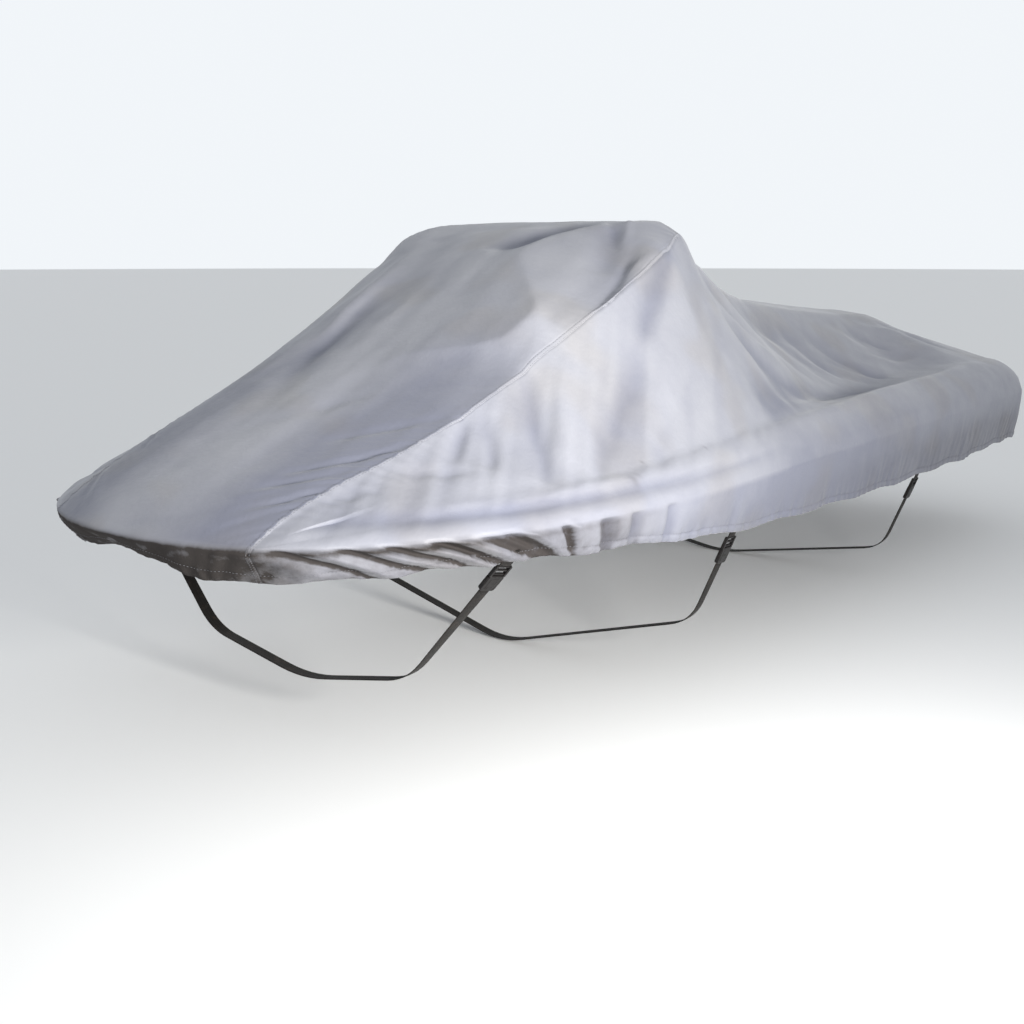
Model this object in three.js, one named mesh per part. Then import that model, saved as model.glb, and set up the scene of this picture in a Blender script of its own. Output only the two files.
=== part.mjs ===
// Cover for a personal watercraft: three cloth panels sewn into one fitted shell, and three hold-down straps.
// Millimetres, +Z up, +X toward the stern, port at -Y. The origin is under the top, where the handlebars carry the
// cloth. The tables give heights above the gunwale, the line where the cloth bends over the rail, and distances aft
// of the nose.

import * as THREE from "three";

const LENGTH = 3120;
const HALF_BEAM = 591;
const CLOTH = 2;
const SEAM_GAP = 0.3;

const RIDGE = { aft: 1200, half: 334, height: 512 }; // the cloth over the handlebars, tip to tip
const KNEE_AFT = 55; // where the side seams cross the gunwale
const SEAT_END_AFT = 2960;
const NOSE = { length: 1003, power: 2.36 };
const STERN_CORNER = { length: 150, power: 3 };

const WEBBING = { width: 25, thickness: 1.6, sewn: 26, clearance: 0.5 }; // sewn inside the hem
const BUCKLE = { length: 62, width: 35, thickness: 9, corner: 7, below: 12 }; // below the hem

// Cross-sections of the cover. The shoulder is the side seam ahead of the ridge and the edge of the seat behind it;
// flank, hollow and deck lie on the way from there to the gunwale.
const SECTIONS = [
  { aft: 55, crown: 0, shoulderHalf: 245, shoulder: 0, flank: 0, hollow: 0, deck: 0 },
  { aft: 110, crown: 40, shoulderHalf: 250, shoulder: 32, flank: 24, hollow: 18, deck: 10 },
  { aft: 200, crown: 84, shoulderHalf: 264, shoulder: 68, flank: 50, hollow: 38, deck: 22 },
  { aft: 310, crown: 128, shoulderHalf: 292, shoulder: 104, flank: 74, hollow: 56, deck: 34 },
  { aft: 530, crown: 214, shoulderHalf: 316, shoulder: 182, flank: 122, hollow: 86, deck: 48 },
  { aft: 840, crown: 360, shoulderHalf: 344, shoulder: 325, flank: 206, hollow: 132, deck: 66 },
  { aft: 1000, crown: 442, shoulderHalf: 364, shoulder: 408, flank: 254, hollow: 156, deck: 74 },
  { aft: 1100, crown: 488, shoulderHalf: 362, shoulder: 462, flank: 280, hollow: 168, deck: 78 },
  { aft: 1200, crown: 512, shoulderHalf: 334, shoulder: 491, flank: 296, hollow: 176, deck: 80 },
  { aft: 1340, crown: 466, shoulderHalf: 306, shoulder: 416, flank: 272, hollow: 166, deck: 82 },
  { aft: 1500, crown: 398, shoulderHalf: 268, shoulder: 366, flank: 236, hollow: 144, deck: 82 },
  { aft: 1750, crown: 336, shoulderHalf: 218, shoulder: 320, flank: 178, hollow: 104, deck: 84 },
  { aft: 2100, crown: 302, shoulderHalf: 184, shoulder: 282, flank: 132, hollow: 80, deck: 88 },
  { aft: 2500, crown: 268, shoulderHalf: 172, shoulder: 250, flank: 134, hollow: 88, deck: 94 },
  { aft: 2760, crown: 250, shoulderHalf: 166, shoulder: 240, flank: 180, hollow: 136, deck: 104 },
  { aft: 2960, crown: 194, shoulderHalf: 160, shoulder: 194, flank: 164, hollow: 134, deck: 100 },
  { aft: 3120, crown: 130, shoulderHalf: 160, shoulder: 130, flank: 120, hollow: 108, deck: 90 },
];
const FLANK_AT = { shoulder: 0, flank: 0.33, hollow: 0.56, deck: 0.78, gunwale: 1 };

// The top leans over to port beyond a crest: where the crest and the foot of its slope lie in the half width,
// and how high the crest stands over the crown.
const PORT_CREST = [
  { aft: 55, crest: 0, foot: 1, rise: 0 },
  { aft: 480, crest: 0, foot: 1, rise: 0 },
  { aft: 600, crest: 0.25, foot: 1, rise: 2 },
  { aft: 680, crest: 0.78, foot: 1.03, rise: 8 },
  { aft: 740, crest: 0.82, foot: 1.02, rise: 15 },
  { aft: 806, crest: 0.68, foot: 1, rise: 20 },
  { aft: 865, crest: 0.5, foot: 0.98, rise: 24 },
  { aft: 960, crest: 0.28, foot: 0.96, rise: 27 },
  { aft: 1060, crest: 0.34, foot: 0.95, rise: 21 },
  { aft: 1140, crest: 0.7, foot: 1.02, rise: 8 },
  { aft: 1200, crest: 0.86, foot: 1.06, rise: 0 },
  { aft: 1290, crest: 0.8, foot: 1.1, rise: 0 },
  { aft: 1500, crest: 0.5, foot: 1.1, rise: 0 },
  { aft: 3120, crest: 0.5, foot: 1.1, rise: 0 },
];

// The skirt below the gunwale: how far the hem hangs down and how far the elastic draws it in.
const SKIRT = [
  { aft: 0, drop: 36, inset: 46 },
  { aft: 60, drop: 62, inset: 46 },
  { aft: 400, drop: 53, inset: 36 },
  { aft: 730, drop: 76, inset: 28 },
  { aft: 1050, drop: 106, inset: 22 },
  { aft: 1400, drop: 122, inset: 18 },
  { aft: 2000, drop: 142, inset: 18 },
  { aft: 3120, drop: 150, inset: 24 },
];

// Where the hem hangs lower than that, by place in plan.
const HEM_SAGS = [
  { aft: 8, side: -115, reach: 115, drop: 21 },
  { aft: 500, side: -490, reach: 120, drop: 8 },
  { aft: 230, side: 390, reach: 90, drop: 6 },
  { aft: 1450, side: 585, reach: 170, drop: 8 },
  { aft: 2450, side: -585, reach: 160, drop: 5 },
];

// The main folds of the cloth between two places in plan: positive ones stand out, negative ones sink in.
const FOLDS = [
  // over the ridge and the hood
  { from: [1310, 330], to: [1020, 360], width: 75, lift: 12 },
  { from: [1300, -350], to: [1100, -350], width: 55, lift: -10 },
  { from: [960, -10], to: [1150, -165], width: 40, lift: -11 },
  { from: [1130, -215], to: [960, -290], width: 34, lift: -9 },
  { from: [1080, -275], to: [840, -325], width: 30, lift: -6 },
  { from: [1060, 215], to: [720, 250], width: 42, lift: 8 },
  { from: [960, 120], to: [480, 150], width: 46, lift: -7 },
  { from: [600, -60], to: [220, -120], width: 44, lift: -5 },
  // from the port tip of the ridge down to the rail
  { from: [1090, -380], to: [930, -412], width: 26, lift: -8 },
  { from: [940, -408], to: [610, -500], width: 38, lift: -10 },
  { from: [1130, -408], to: [800, -502], width: 40, lift: 8 },
  { from: [1180, -400], to: [880, -520], width: 36, lift: -6 },
  { from: [660, -330], to: [500, -470], width: 34, lift: -9 },
  { from: [740, -350], to: [590, -480], width: 34, lift: 6 },
  { from: [520, -322], to: [430, -400], width: 30, lift: -6 },
  // behind the ridge and along the seat, port
  { from: [1260, -330], to: [1480, -455], width: 50, lift: -12 },
  { from: [1400, -300], to: [1640, -430], width: 44, lift: 7 },
  { from: [2060, -250], to: [2340, -405], width: 38, lift: -8 },
  { from: [2400, -215], to: [2600, -345], width: 36, lift: -8 },
  { from: [1700, -230], to: [1960, -380], width: 42, lift: -6 },
  // starboard
  { from: [1090, 384], to: [700, 480], width: 40, lift: -11 },
  { from: [1150, 400], to: [860, 510], width: 40, lift: 8 },
  { from: [640, 340], to: [480, 470], width: 36, lift: -8 },
  { from: [1250, 340], to: [1500, 460], width: 48, lift: -12 },
  { from: [1950, 240], to: [2230, 400], width: 40, lift: -8 },
  { from: [2340, 220], to: [2560, 350], width: 38, lift: -7 },
];

// Strap sets: aft of the nose, and where the webbing bends at the hull's chine and keel, below the gunwale.
const STRAPS = [
  { name: "fore", aft: 385, chineHalf: 255, chineDrop: 296, keelDrop: 345 },
  { name: "mid", aft: 1000, chineHalf: 476, chineDrop: 300, keelDrop: 430 },
  { name: "aft", aft: 2040, chineHalf: 478, chineDrop: 350, keelDrop: 430 },
];

// ---------------------------------------------------------------- measures read off the tables

// A monotone curve through one column of a table, as a function of another column.
function curve(table, key, by = "aft") {
  const x = table.map((row) => row[by]);
  const y = table.map((row) => row[key]);
  const slope = x.slice(1).map((xi, i) => (y[i + 1] - y[i]) / (xi - x[i]));
  const tangent = x.map((_, i) => {
    const [before, after] = [slope[i - 1] ?? slope[0], slope[i] ?? slope.at(-1)];
    return before * after <= 0 ? 0 : (2 * before * after) / (before + after);
  });
  return (at) => {
    const clamped = Math.min(Math.max(at, x[0]), x.at(-1));
    const i = Math.min(x.findLastIndex((xi) => xi <= clamped), x.length - 2);
    const span = x[i + 1] - x[i];
    const t = (clamped - x[i]) / span;
    return (
      y[i] * (1 + 2 * t) * (1 - t) ** 2 +
      tangent[i] * span * t * (1 - t) ** 2 +
      y[i + 1] * t * t * (3 - 2 * t) +
      tangent[i + 1] * span * t * t * (t - 1)
    );
  };
}

const portCrest = Object.fromEntries(
  Object.keys(PORT_CREST[0]).map((key) => [key, curve(PORT_CREST, key)]),
);
const skirtDrop = curve(SKIRT, "drop");
const skirtInset = curve(SKIRT, "inset");
const section = Object.fromEntries(
  Object.keys(SECTIONS[0]).map((key) => [key, curve(SECTIONS, key)]),
);
const lerp = THREE.MathUtils.lerp;

// Half the beam at the gunwale: a blunt nose, straight sides and rounded stern corners.
function halfBeam(aft) {
  const nose = Math.max(1 - aft / NOSE.length, 0);
  const stern = Math.max((aft - LENGTH + STERN_CORNER.length) / STERN_CORNER.length, 0);
  return (
    HALF_BEAM *
    Math.max(1 - nose ** NOSE.power, 0) ** (1 / NOSE.power) *
    Math.max(1 - stern ** STERN_CORNER.power, 0) ** (1 / STERN_CORNER.power)
  );
}

// The gunwale in plan, from the nose at 0 to the middle of the transom at 1, close set at both ends.
const gunwaleAft = (share) => (LENGTH * (1 - Math.cos(Math.PI * share))) / 2;
const gunwaleShare = (aft) => Math.acos(1 - (2 * aft) / LENGTH) / Math.PI;
const gunwaleAt = (share) => new THREE.Vector2(gunwaleAft(share), halfBeam(gunwaleAft(share)));
function outwardAt(share) {
  const step = 1e-4;
  const ahead = gunwaleAt(Math.min(share + step, 1));
  const behind = gunwaleAt(Math.max(share - step, 0));
  if (share <= 0) return new THREE.Vector2(-1, 0);
  if (share >= 1) return new THREE.Vector2(1, 0);
  const along = ahead.sub(behind).normalize();
  return new THREE.Vector2(-along.y, along.x);
}

// A smooth step from 0 at low to 1 at high.
const smooth = (low, high, at) => THREE.MathUtils.smoothstep(at, low, high);

// How far the folds move the cloth at a place in plan; each fades out toward its ends.
function foldLift(aft, side) {
  let lift = 0;
  for (const fold of FOLDS) {
    const [along, off] = [fold.to[0] - fold.from[0], fold.to[1] - fold.from[1]];
    const [dx, dy] = [aft - fold.from[0], side - fold.from[1]];
    const way = THREE.MathUtils.clamp((dx * along + dy * off) / (along ** 2 + off ** 2), 0, 1);
    const distance = Math.hypot(dx - way * along, dy - way * off);
    lift += fold.lift * Math.exp(-((distance / fold.width) ** 2)) * (1 - Math.abs(2 * way - 1) ** 3);
  }
  return lift;
}

// Height of a side panel on the way from its shoulder (0) to the gunwale (1).
function flankHeight(aft, way) {
  if (way >= FLANK_AT.deck) {
    const over = (way - FLANK_AT.deck) / (1 - FLANK_AT.deck);
    const roundness = lerp(1.25, 1.8, THREE.MathUtils.smoothstep(aft, 300, 2600));
    return section.deck(aft) * Math.max(1 - over ** roundness, 0) ** (1 / roundness);
  }
  const rows = ["shoulder", "flank", "hollow", "deck"].map((key) => ({
    way: FLANK_AT[key],
    height: section[key](aft),
  }));
  return curve(rows, "height", "way")(way);
}

// ---------------------------------------------------------------- the cloth as grids of points

const SEAM_ROWS = 22; // rows from the ridge to the gunwale, shared by the hood and both side panels
const HALF_COLUMNS = 6; // from the centreline to a shoulder
const TOP_FLATNESS = 5; // the top is nearly flat across and rolls over close to its starboard shoulder
const PORT_SLOPE_POWER = 1.15;
const SKIRT_ROWS = [0.22, 0.55, 1];
const FLANK_WAYS = [0, 0.12, 0.24, 0.36, 0.48, 0.6, 0.7, 0.78, 0.86, 0.94, 1];
const AFT_COLUMNS = 30;
const HEM_WAVE = { height: 3, turns: 34 };

const kneeShare = gunwaleShare(KNEE_AFT);
const seamAft = (run) => lerp(RIDGE.aft, KNEE_AFT, run);
const seamHalf = (run) => (run === 1 ? halfBeam(KNEE_AFT) : section.shoulderHalf(seamAft(run)));

// A point of the skirt below the gunwale, at a share of the way to the hem.
function skirtPoint(share, side, down) {
  const { x: aft, y: half } = gunwaleAt(share);
  const outward = outwardAt(share);
  const inset = skirtInset(aft) * down ** 1.5;
  const wave = HEM_WAVE.height * Math.sin(HEM_WAVE.turns * Math.PI * share);
  const sag = HEM_SAGS.reduce((sum, dip) => {
    const distance = Math.hypot(aft - dip.aft, side * half - dip.side);
    return sum + dip.drop * Math.exp(-((distance / dip.reach) ** 2));
  }, 0);
  const height = (wave - skirtDrop(aft) - sag) * down;
  return [aft - outward.x * inset, side * (half - outward.y * inset), height];
}

// How far the top has come down its port slope, from 0 at the crest to 1 at the port shoulder.
function portSlope(aft, port) {
  const [crest, foot] = [portCrest.crest(aft), portCrest.foot(aft)];
  const gone = (at) => THREE.MathUtils.clamp((at - crest) / (foot - crest), 0, 1) ** PORT_SLOPE_POWER;
  return gone(port) / gone(1);
}

// A point of the top between the shoulders, which are at -1 (port) and 1 across.
function topPoint(aft, across, half = section.shoulderHalf(aft)) {
  const rise = section.crown(aft) - section.shoulder(aft);
  const slope = portSlope(aft, -across);
  const fall = across < 0 ? slope : across ** TOP_FLATNESS;
  const crest = portCrest.rise(aft) * smooth(-0.6, portCrest.crest(aft), -across) * (1 - slope);
  const height = section.shoulder(aft) + rise * (1 - fall) + crest;
  return [aft, across * half, height + foldLift(aft, across * half)];
}

// The hood, from the ridge to the nose; its sides are the side seams, and inside them it fans out over the nose.
function hoodPoint(across, run) {
  const aft = seamAft(run);
  const [, side, height] = topPoint(aft, across, seamHalf(run));
  if (Math.abs(across) === 1 || run === 0) return [aft, side, height];
  const nose = gunwaleAt(Math.abs(across) * kneeShare);
  const kneeHalf = halfBeam(KNEE_AFT);
  return [
    aft + (nose.x - KNEE_AFT) * run,
    side + (Math.sign(across) * nose.y - across * kneeHalf) * run,
    height,
  ];
}

// Columns of a side panel: first those that start on the seam, then those that start on the centre seam.
function sideColumns() {
  const ahead = Array.from({ length: SEAM_ROWS + 1 }, (_, i) => {
    const run = 1 - i / SEAM_ROWS;
    return { shoulderAft: seamAft(run), shoulderHalf: seamHalf(run), share: gunwaleShare(seamAft(run)), run };
  });
  const ridgeShare = gunwaleShare(RIDGE.aft);
  const behind = Array.from({ length: AFT_COLUMNS }, (_, i) => {
    const way = (i + 1) / AFT_COLUMNS;
    const aft = lerp(RIDGE.aft, SEAT_END_AFT, Math.sin((way * Math.PI) / 2) ** 1.15);
    return { shoulderAft: aft, shoulderHalf: shoulderHalfAt(aft), share: lerp(ridgeShare, 1, way) };
  });
  return [...ahead, ...behind];
}

function shoulderHalfAt(aft) {
  const end = 300;
  const rounding = Math.max((aft - SEAT_END_AFT + end) / end, 0);
  return section.shoulderHalf(aft) * Math.sqrt(Math.max(1 - rounding ** 2, 0));
}

// One side panel as columns of points; the columns ahead of the ridge have no top rows.
function sideGrid(side) {
  return sideColumns().map(({ shoulderAft, shoulderHalf, share, run }) => {
    const { x: aft, y: half } = gunwaleAt(share);
    const top = Array.from({ length: HALF_COLUMNS }, (_, i) =>
      run > 0 ? null : topPoint(shoulderAft, (side * i) / HALF_COLUMNS, shoulderHalf),
    );
    const flank = FLANK_WAYS.map((way) => {
      if (way === 0) return topPoint(shoulderAft, side, shoulderHalf);
      const [at, off] = [lerp(shoulderAft, aft, way), side * lerp(shoulderHalf, half, way)];
      return [at, off, flankHeight(at, way) + (way < 1 ? foldLift(at, off) : 0)];
    });
    const skirt = SKIRT_ROWS.map((down) => skirtPoint(share, side, down));
    return [...top, ...flank, ...skirt];
  });
}

function hoodGrid() {
  return Array.from({ length: 2 * HALF_COLUMNS + 1 }, (_, i) => {
    const across = i / HALF_COLUMNS - 1;
    const share = Math.abs(across) * kneeShare;
    const top = Array.from({ length: SEAM_ROWS + 1 }, (_, k) => hoodPoint(across, k / SEAM_ROWS));
    const skirt = SKIRT_ROWS.map((down) => skirtPoint(share, Math.sign(across) || 1, down));
    return [...top, ...skirt];
  });
}

// ---------------------------------------------------------------- cloth solids

const keyOf = (point) => point.map((value) => Math.round(value * 1000)).join();

// The four-sided cells of a grid, as corner points in order, turned so that they face out of the cover.
function cellsOf(grid, flipped) {
  const cells = [];
  for (let i = 0; i + 1 < grid.length; i++)
    for (let k = 0; k + 1 < grid[0].length; k++) {
      const corners = [grid[i][k], grid[i + 1][k], grid[i + 1][k + 1], grid[i][k + 1]];
      if (corners.every(Boolean)) cells.push(flipped ? corners.reverse() : corners);
    }
  return cells;
}

// Triangles of a cell, without those that a pole of the grid flattens.
function trianglesOf([a, b, c, d]) {
  const halves = [[a, b, c], [a, c, d]];
  return halves.filter((corners) => new Set(corners.map(keyOf)).size === 3);
}

// The cloth's outward direction at each grid point, averaged over every panel that meets there.
function normalsOf(cells) {
  const normals = new Map();
  for (const corners of cells.flatMap(trianglesOf)) {
    const [a, b, c] = corners.map((point) => new THREE.Vector3(...point));
    const facing = b.clone().sub(a).cross(c.clone().sub(a));
    for (const point of corners) {
      const key = keyOf(point);
      normals.set(key, (normals.get(key) ?? new THREE.Vector3()).add(facing));
    }
  }
  normals.forEach((normal) => normal.normalize());
  return normals;
}

// A closed sheet: the outer layer, the same layer a cloth's thickness further in, and a rim along every free edge.
function sheet(cells, normals) {
  const triangles = cells.flatMap(trianglesOf);
  const edges = new Map();
  for (const [a, b, c] of triangles)
    for (const [from, to] of [[a, b], [b, c], [c, a]])
      if (!edges.delete(keyOf(to) + ":" + keyOf(from))) edges.set(keyOf(from) + ":" + keyOf(to), [from, to]);
  const rim = [...edges.values()];

  // Points on a free edge draw back from it along the cloth, so that panels sewn together don't touch.
  const back = new Map();
  for (const [from, to] of rim)
    for (const point of [from, to]) {
      const key = keyOf(point);
      const along = new THREE.Vector3(...to).sub(new THREE.Vector3(...from));
      const inwards = normals.get(key).clone().cross(along).normalize();
      back.set(key, (back.get(key) ?? new THREE.Vector3()).add(inwards));
    }
  const outer = (point) => {
    const at = new THREE.Vector3(...point);
    const inwards = back.get(keyOf(point));
    return inwards ? at.addScaledVector(inwards.clone().normalize(), SEAM_GAP) : at;
  };
  const inner = (point) => outer(point).addScaledVector(normals.get(keyOf(point)), -CLOTH);

  const positions = [];
  const add = (...corners) => positions.push(...corners.flatMap((corner) => corner.toArray()));
  for (const [a, b, c] of triangles) {
    add(outer(a), outer(b), outer(c));
    add(inner(a), inner(c), inner(b));
  }
  for (const [from, to] of rim) {
    add(outer(to), outer(from), inner(from));
    add(outer(to), inner(from), inner(to));
  }
  return new THREE.BufferGeometry().setAttribute("position", new THREE.Float32BufferAttribute(positions, 3));
}

const panels = {
  hood_panel: cellsOf(hoodGrid(), false),
  port_panel: cellsOf(sideGrid(-1), true),
  starboard_panel: cellsOf(sideGrid(1), false),
};
const normals = normalsOf(Object.values(panels).flat());

// ---------------------------------------------------------------- straps

// The port or starboard hem where a strap leaves it: a flat facet of the skirt, as the webbing lies against it.
function hemFacet(strap, side) {
  const shares = sideColumns().map((column) => column.share);
  const next = shares.findIndex((share) => gunwaleAft(share) > strap.aft);
  const [above, hem] = SKIRT_ROWS.slice(-2).map((down) =>
    [shares[next - 1], shares[next]].map((share) => new THREE.Vector3(...skirtPoint(share, side, down))),
  );
  const across = hem[1].clone().sub(hem[0]).normalize();
  const middle = (pair) => pair[0].clone().add(pair[1]).divideScalar(2);
  const down = middle(hem).sub(middle(above)).normalize();
  const inwards = new THREE.Vector3().crossVectors(across, down).multiplyScalar(-side).normalize();
  const depth = CLOTH + WEBBING.clearance + WEBBING.thickness / 2;
  const edge = middle(hem).addScaledVector(inwards, depth);
  return { across, edge, sewn: edge.clone().addScaledVector(down, -WEBBING.sewn) };
}

// A flat strip through given places; across is the direction of its width at each.
function ribbon(places) {
  const corners = places.map(({ at, across }, i) => {
    const ahead = places[Math.min(i + 1, places.length - 1)].at;
    const behind = places[Math.max(i - 1, 0)].at;
    const along = ahead.clone().sub(behind).normalize();
    const wide = across.clone().projectOnPlane(along).setLength(WEBBING.width / 2);
    const thick = along.clone().cross(wide).setLength(WEBBING.thickness / 2);
    return [[1, 1], [-1, 1], [-1, -1], [1, -1]].map(([w, t]) =>
      at.clone().addScaledVector(wide, w).addScaledVector(thick, t),
    );
  });
  const positions = [];
  const add = (a, b, c, d) => positions.push(...[a, b, c, a, c, d].flatMap((corner) => corner.toArray()));
  add(...corners[0].toReversed());
  for (let i = 0; i + 1 < corners.length; i++)
    for (let k = 0; k < 4; k++) {
      const next = (k + 1) % 4;
      add(corners[i][k], corners[i][next], corners[i + 1][next], corners[i + 1][k]);
    }
  add(...corners.at(-1));
  return new THREE.BufferGeometry().setAttribute("position", new THREE.Float32BufferAttribute(positions, 3));
}

// Places along straight stretches whose corners are rounded.
function roundedRoute(points, radii, steps) {
  const route = [points[0]];
  points.slice(1, -1).forEach((corner, i) => {
    const [before, after] = [points[i], points[i + 2]];
    const start = corner.clone().add(before.clone().sub(corner).setLength(radii[i]));
    const end = corner.clone().add(after.clone().sub(corner).setLength(radii[i]));
    route.push(...new THREE.QuadraticBezierCurve3(start, corner, end).getPoints(steps));
  });
  return [...route, points.at(-1)];
}

// A buckle's body: a rounded plate that lies along the strap.
function buckleBody() {
  const { length, width, corner } = BUCKLE;
  const outline = new THREE.Shape();
  outline.absarc(length - corner, width / 2 - corner, corner, 0, Math.PI / 2);
  outline.absarc(corner, width / 2 - corner, corner, Math.PI / 2, Math.PI);
  outline.absarc(corner, corner - width / 2, corner, Math.PI, Math.PI * 1.5);
  outline.absarc(length - corner, corner - width / 2, corner, Math.PI * 1.5, Math.PI * 2);
  return new THREE.ExtrudeGeometry(outline, {
    depth: BUCKLE.thickness,
    bevelEnabled: false,
    curveSegments: 3,
  }).translate(0, 0, -BUCKLE.thickness / 2);
}

// The three pieces of one strap: a tail sewn inside the port hem, its buckle, and the run under the hull.
function strapPieces(strap) {
  const [port, starboard] = [hemFacet(strap, -1), hemFacet(strap, 1)];
  const hull = (half, drop) => new THREE.Vector3((port.edge.x + starboard.edge.x) / 2, half, -drop);
  const chine = hull(-strap.chineHalf, strap.chineDrop);
  const along = chine.clone().sub(port.edge).normalize();
  const across = port.across.clone().projectOnPlane(along).normalize();
  const reach = (distance) => port.edge.clone().addScaledVector(along, distance);

  const bend = roundedRoute([port.sewn, port.edge, reach(BUCKLE.below)], [BUCKLE.below / 2], 3);
  const tail = ribbon(bend.map((at) => ({ at, across: port.across })));

  const start = BUCKLE.below + SEAM_GAP;
  const buckle = buckleBody().applyMatrix4(
    new THREE.Matrix4().makeBasis(along, across, along.clone().cross(across)).setPosition(reach(start)),
  );

  const corners = [
    reach(start + BUCKLE.length + SEAM_GAP),
    chine,
    hull(0, strap.keelDrop),
    hull(strap.chineHalf, strap.chineDrop),
    starboard.edge,
    starboard.sewn,
  ];
  const route = roundedRoute(corners, [45, 60, 45, BUCKLE.below / 2], 4);
  const fore = new THREE.Vector3(1, 0, 0);
  const run = ribbon(
    route.map((at) => {
      const [end, half] = [at.y < 0 ? port : starboard, Math.abs(at.y)];
      const twist = THREE.MathUtils.smoothstep(half, strap.chineHalf, Math.abs(end.edge.y));
      return { at, across: fore.clone().lerp(end.across, twist) };
    }),
  );
  return { tail, buckle, run };
}

// ---------------------------------------------------------------- the cover

const cloth = new THREE.MeshStandardMaterial({ color: 0xb4b6be, roughness: 0.62, metalness: 0 });
const webbing = new THREE.MeshStandardMaterial({ color: 0x1b1714, roughness: 0.8, metalness: 0 });
const plastic = new THREE.MeshStandardMaterial({ color: 0x120f0e, roughness: 0.45, metalness: 0 });

const cover = new THREE.Group();
cover.position.set(-RIDGE.aft, 0, CLOTH - RIDGE.height);
function addPiece(name, geometry, material) {
  const mesh = new THREE.Mesh(geometry, material);
  mesh.name = name;
  cover.add(mesh);
}

for (const [name, cells] of Object.entries(panels)) addPiece(name, sheet(cells, normals), cloth);
for (const strap of STRAPS) {
  const { tail, buckle, run } = strapPieces(strap);
  addPiece(`${strap.name}_strap_tail`, tail, webbing);
  addPiece(`${strap.name}_strap_buckle`, buckle, plastic);
  addPiece(`${strap.name}_strap_webbing`, run, webbing);
}

const model = new THREE.Group();
model.add(cover);
export default model;
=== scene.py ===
"""Fitted cover for a personal watercraft, pulled down over the handlebars and strapped under the hull."""

import math

import bmesh
import bpy
import numpy as np
from mathutils import Matrix, Vector, noise
from mathutils.bvhtree import BVHTree


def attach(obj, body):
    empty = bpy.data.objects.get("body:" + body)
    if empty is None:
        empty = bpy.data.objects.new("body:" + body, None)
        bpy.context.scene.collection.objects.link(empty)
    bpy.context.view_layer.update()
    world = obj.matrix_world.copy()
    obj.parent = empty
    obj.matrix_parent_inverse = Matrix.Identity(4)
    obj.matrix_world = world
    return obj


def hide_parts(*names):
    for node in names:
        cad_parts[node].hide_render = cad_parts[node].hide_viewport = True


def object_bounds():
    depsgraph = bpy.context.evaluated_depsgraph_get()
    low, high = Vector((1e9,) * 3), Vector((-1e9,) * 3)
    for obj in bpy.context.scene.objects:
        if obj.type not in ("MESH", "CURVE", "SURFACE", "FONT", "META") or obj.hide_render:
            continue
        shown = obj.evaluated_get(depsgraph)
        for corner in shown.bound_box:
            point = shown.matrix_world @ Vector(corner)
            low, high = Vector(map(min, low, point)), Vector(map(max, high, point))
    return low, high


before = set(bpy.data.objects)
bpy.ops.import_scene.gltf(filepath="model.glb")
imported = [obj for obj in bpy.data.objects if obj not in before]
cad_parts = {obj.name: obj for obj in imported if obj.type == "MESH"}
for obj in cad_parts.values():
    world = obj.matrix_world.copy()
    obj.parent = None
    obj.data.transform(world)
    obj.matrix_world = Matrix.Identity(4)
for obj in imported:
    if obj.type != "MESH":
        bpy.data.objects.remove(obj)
cad_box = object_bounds()
scene = bpy.context.scene


# ---------------------------------------------------------------- hood panel
# Coated polyester cut in one piece, from the ridge over the handlebars down to the nose.
# The craft under it gives it its shape: sections are millimetres aft of the nose and above the gunwale.
LENGTH, HALF_BEAM, RIDGE_AFT, RIDGE_HEIGHT = 3120, 591, 1200, 512
KNEE_AFT, SEAT_END_AFT, CLOTH = 55, 2960, 2.0
# Folds get painted shade in their troughs, darkest at this depth.
DEEPEST = 24  # a fold that sinks in this far has the full tone of a trough
SECTION_KEYS = ("aft", "crown", "shoulder_half", "shoulder", "flank", "hollow", "deck")
SECTIONS = np.array([
    (55, 0, 245, 0, 0, 0, 0),
    (110, 40, 250, 32, 24, 18, 10),
    (200, 84, 264, 68, 50, 38, 22),
    (310, 128, 292, 104, 74, 56, 34),
    (530, 214, 316, 182, 122, 86, 48),
    (840, 360, 344, 325, 206, 132, 66),
    (1000, 442, 364, 408, 254, 156, 74),
    (1100, 488, 362, 462, 280, 168, 78),
    (1200, 512, 334, 491, 296, 176, 80),
    (1340, 466, 306, 416, 272, 166, 82),
    (1500, 398, 268, 366, 236, 144, 82),
    (1750, 336, 218, 320, 178, 104, 84),
    (2100, 302, 184, 282, 132, 80, 88),
    (2500, 268, 172, 250, 134, 88, 94),
    (2760, 250, 166, 240, 180, 136, 104),
    (2960, 194, 160, 194, 164, 134, 100),
    (3120, 130, 160, 130, 120, 108, 90),
], float)
SKIRT = np.array([  # aft, drop below the gunwale, inset at the hem
    (0, 36, 46), (60, 62, 46), (400, 53, 36), (730, 76, 28),
    (1050, 106, 22), (1400, 122, 18), (2000, 142, 18), (3120, 150, 24),
], float)
HEM_SAGS = [  # aft, side, reach, drop
    (8, -115, 115, 21), (500, -490, 120, 8), (230, 390, 90, 6), (1450, 585, 170, 8), (2450, -585, 160, 5),
]


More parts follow.
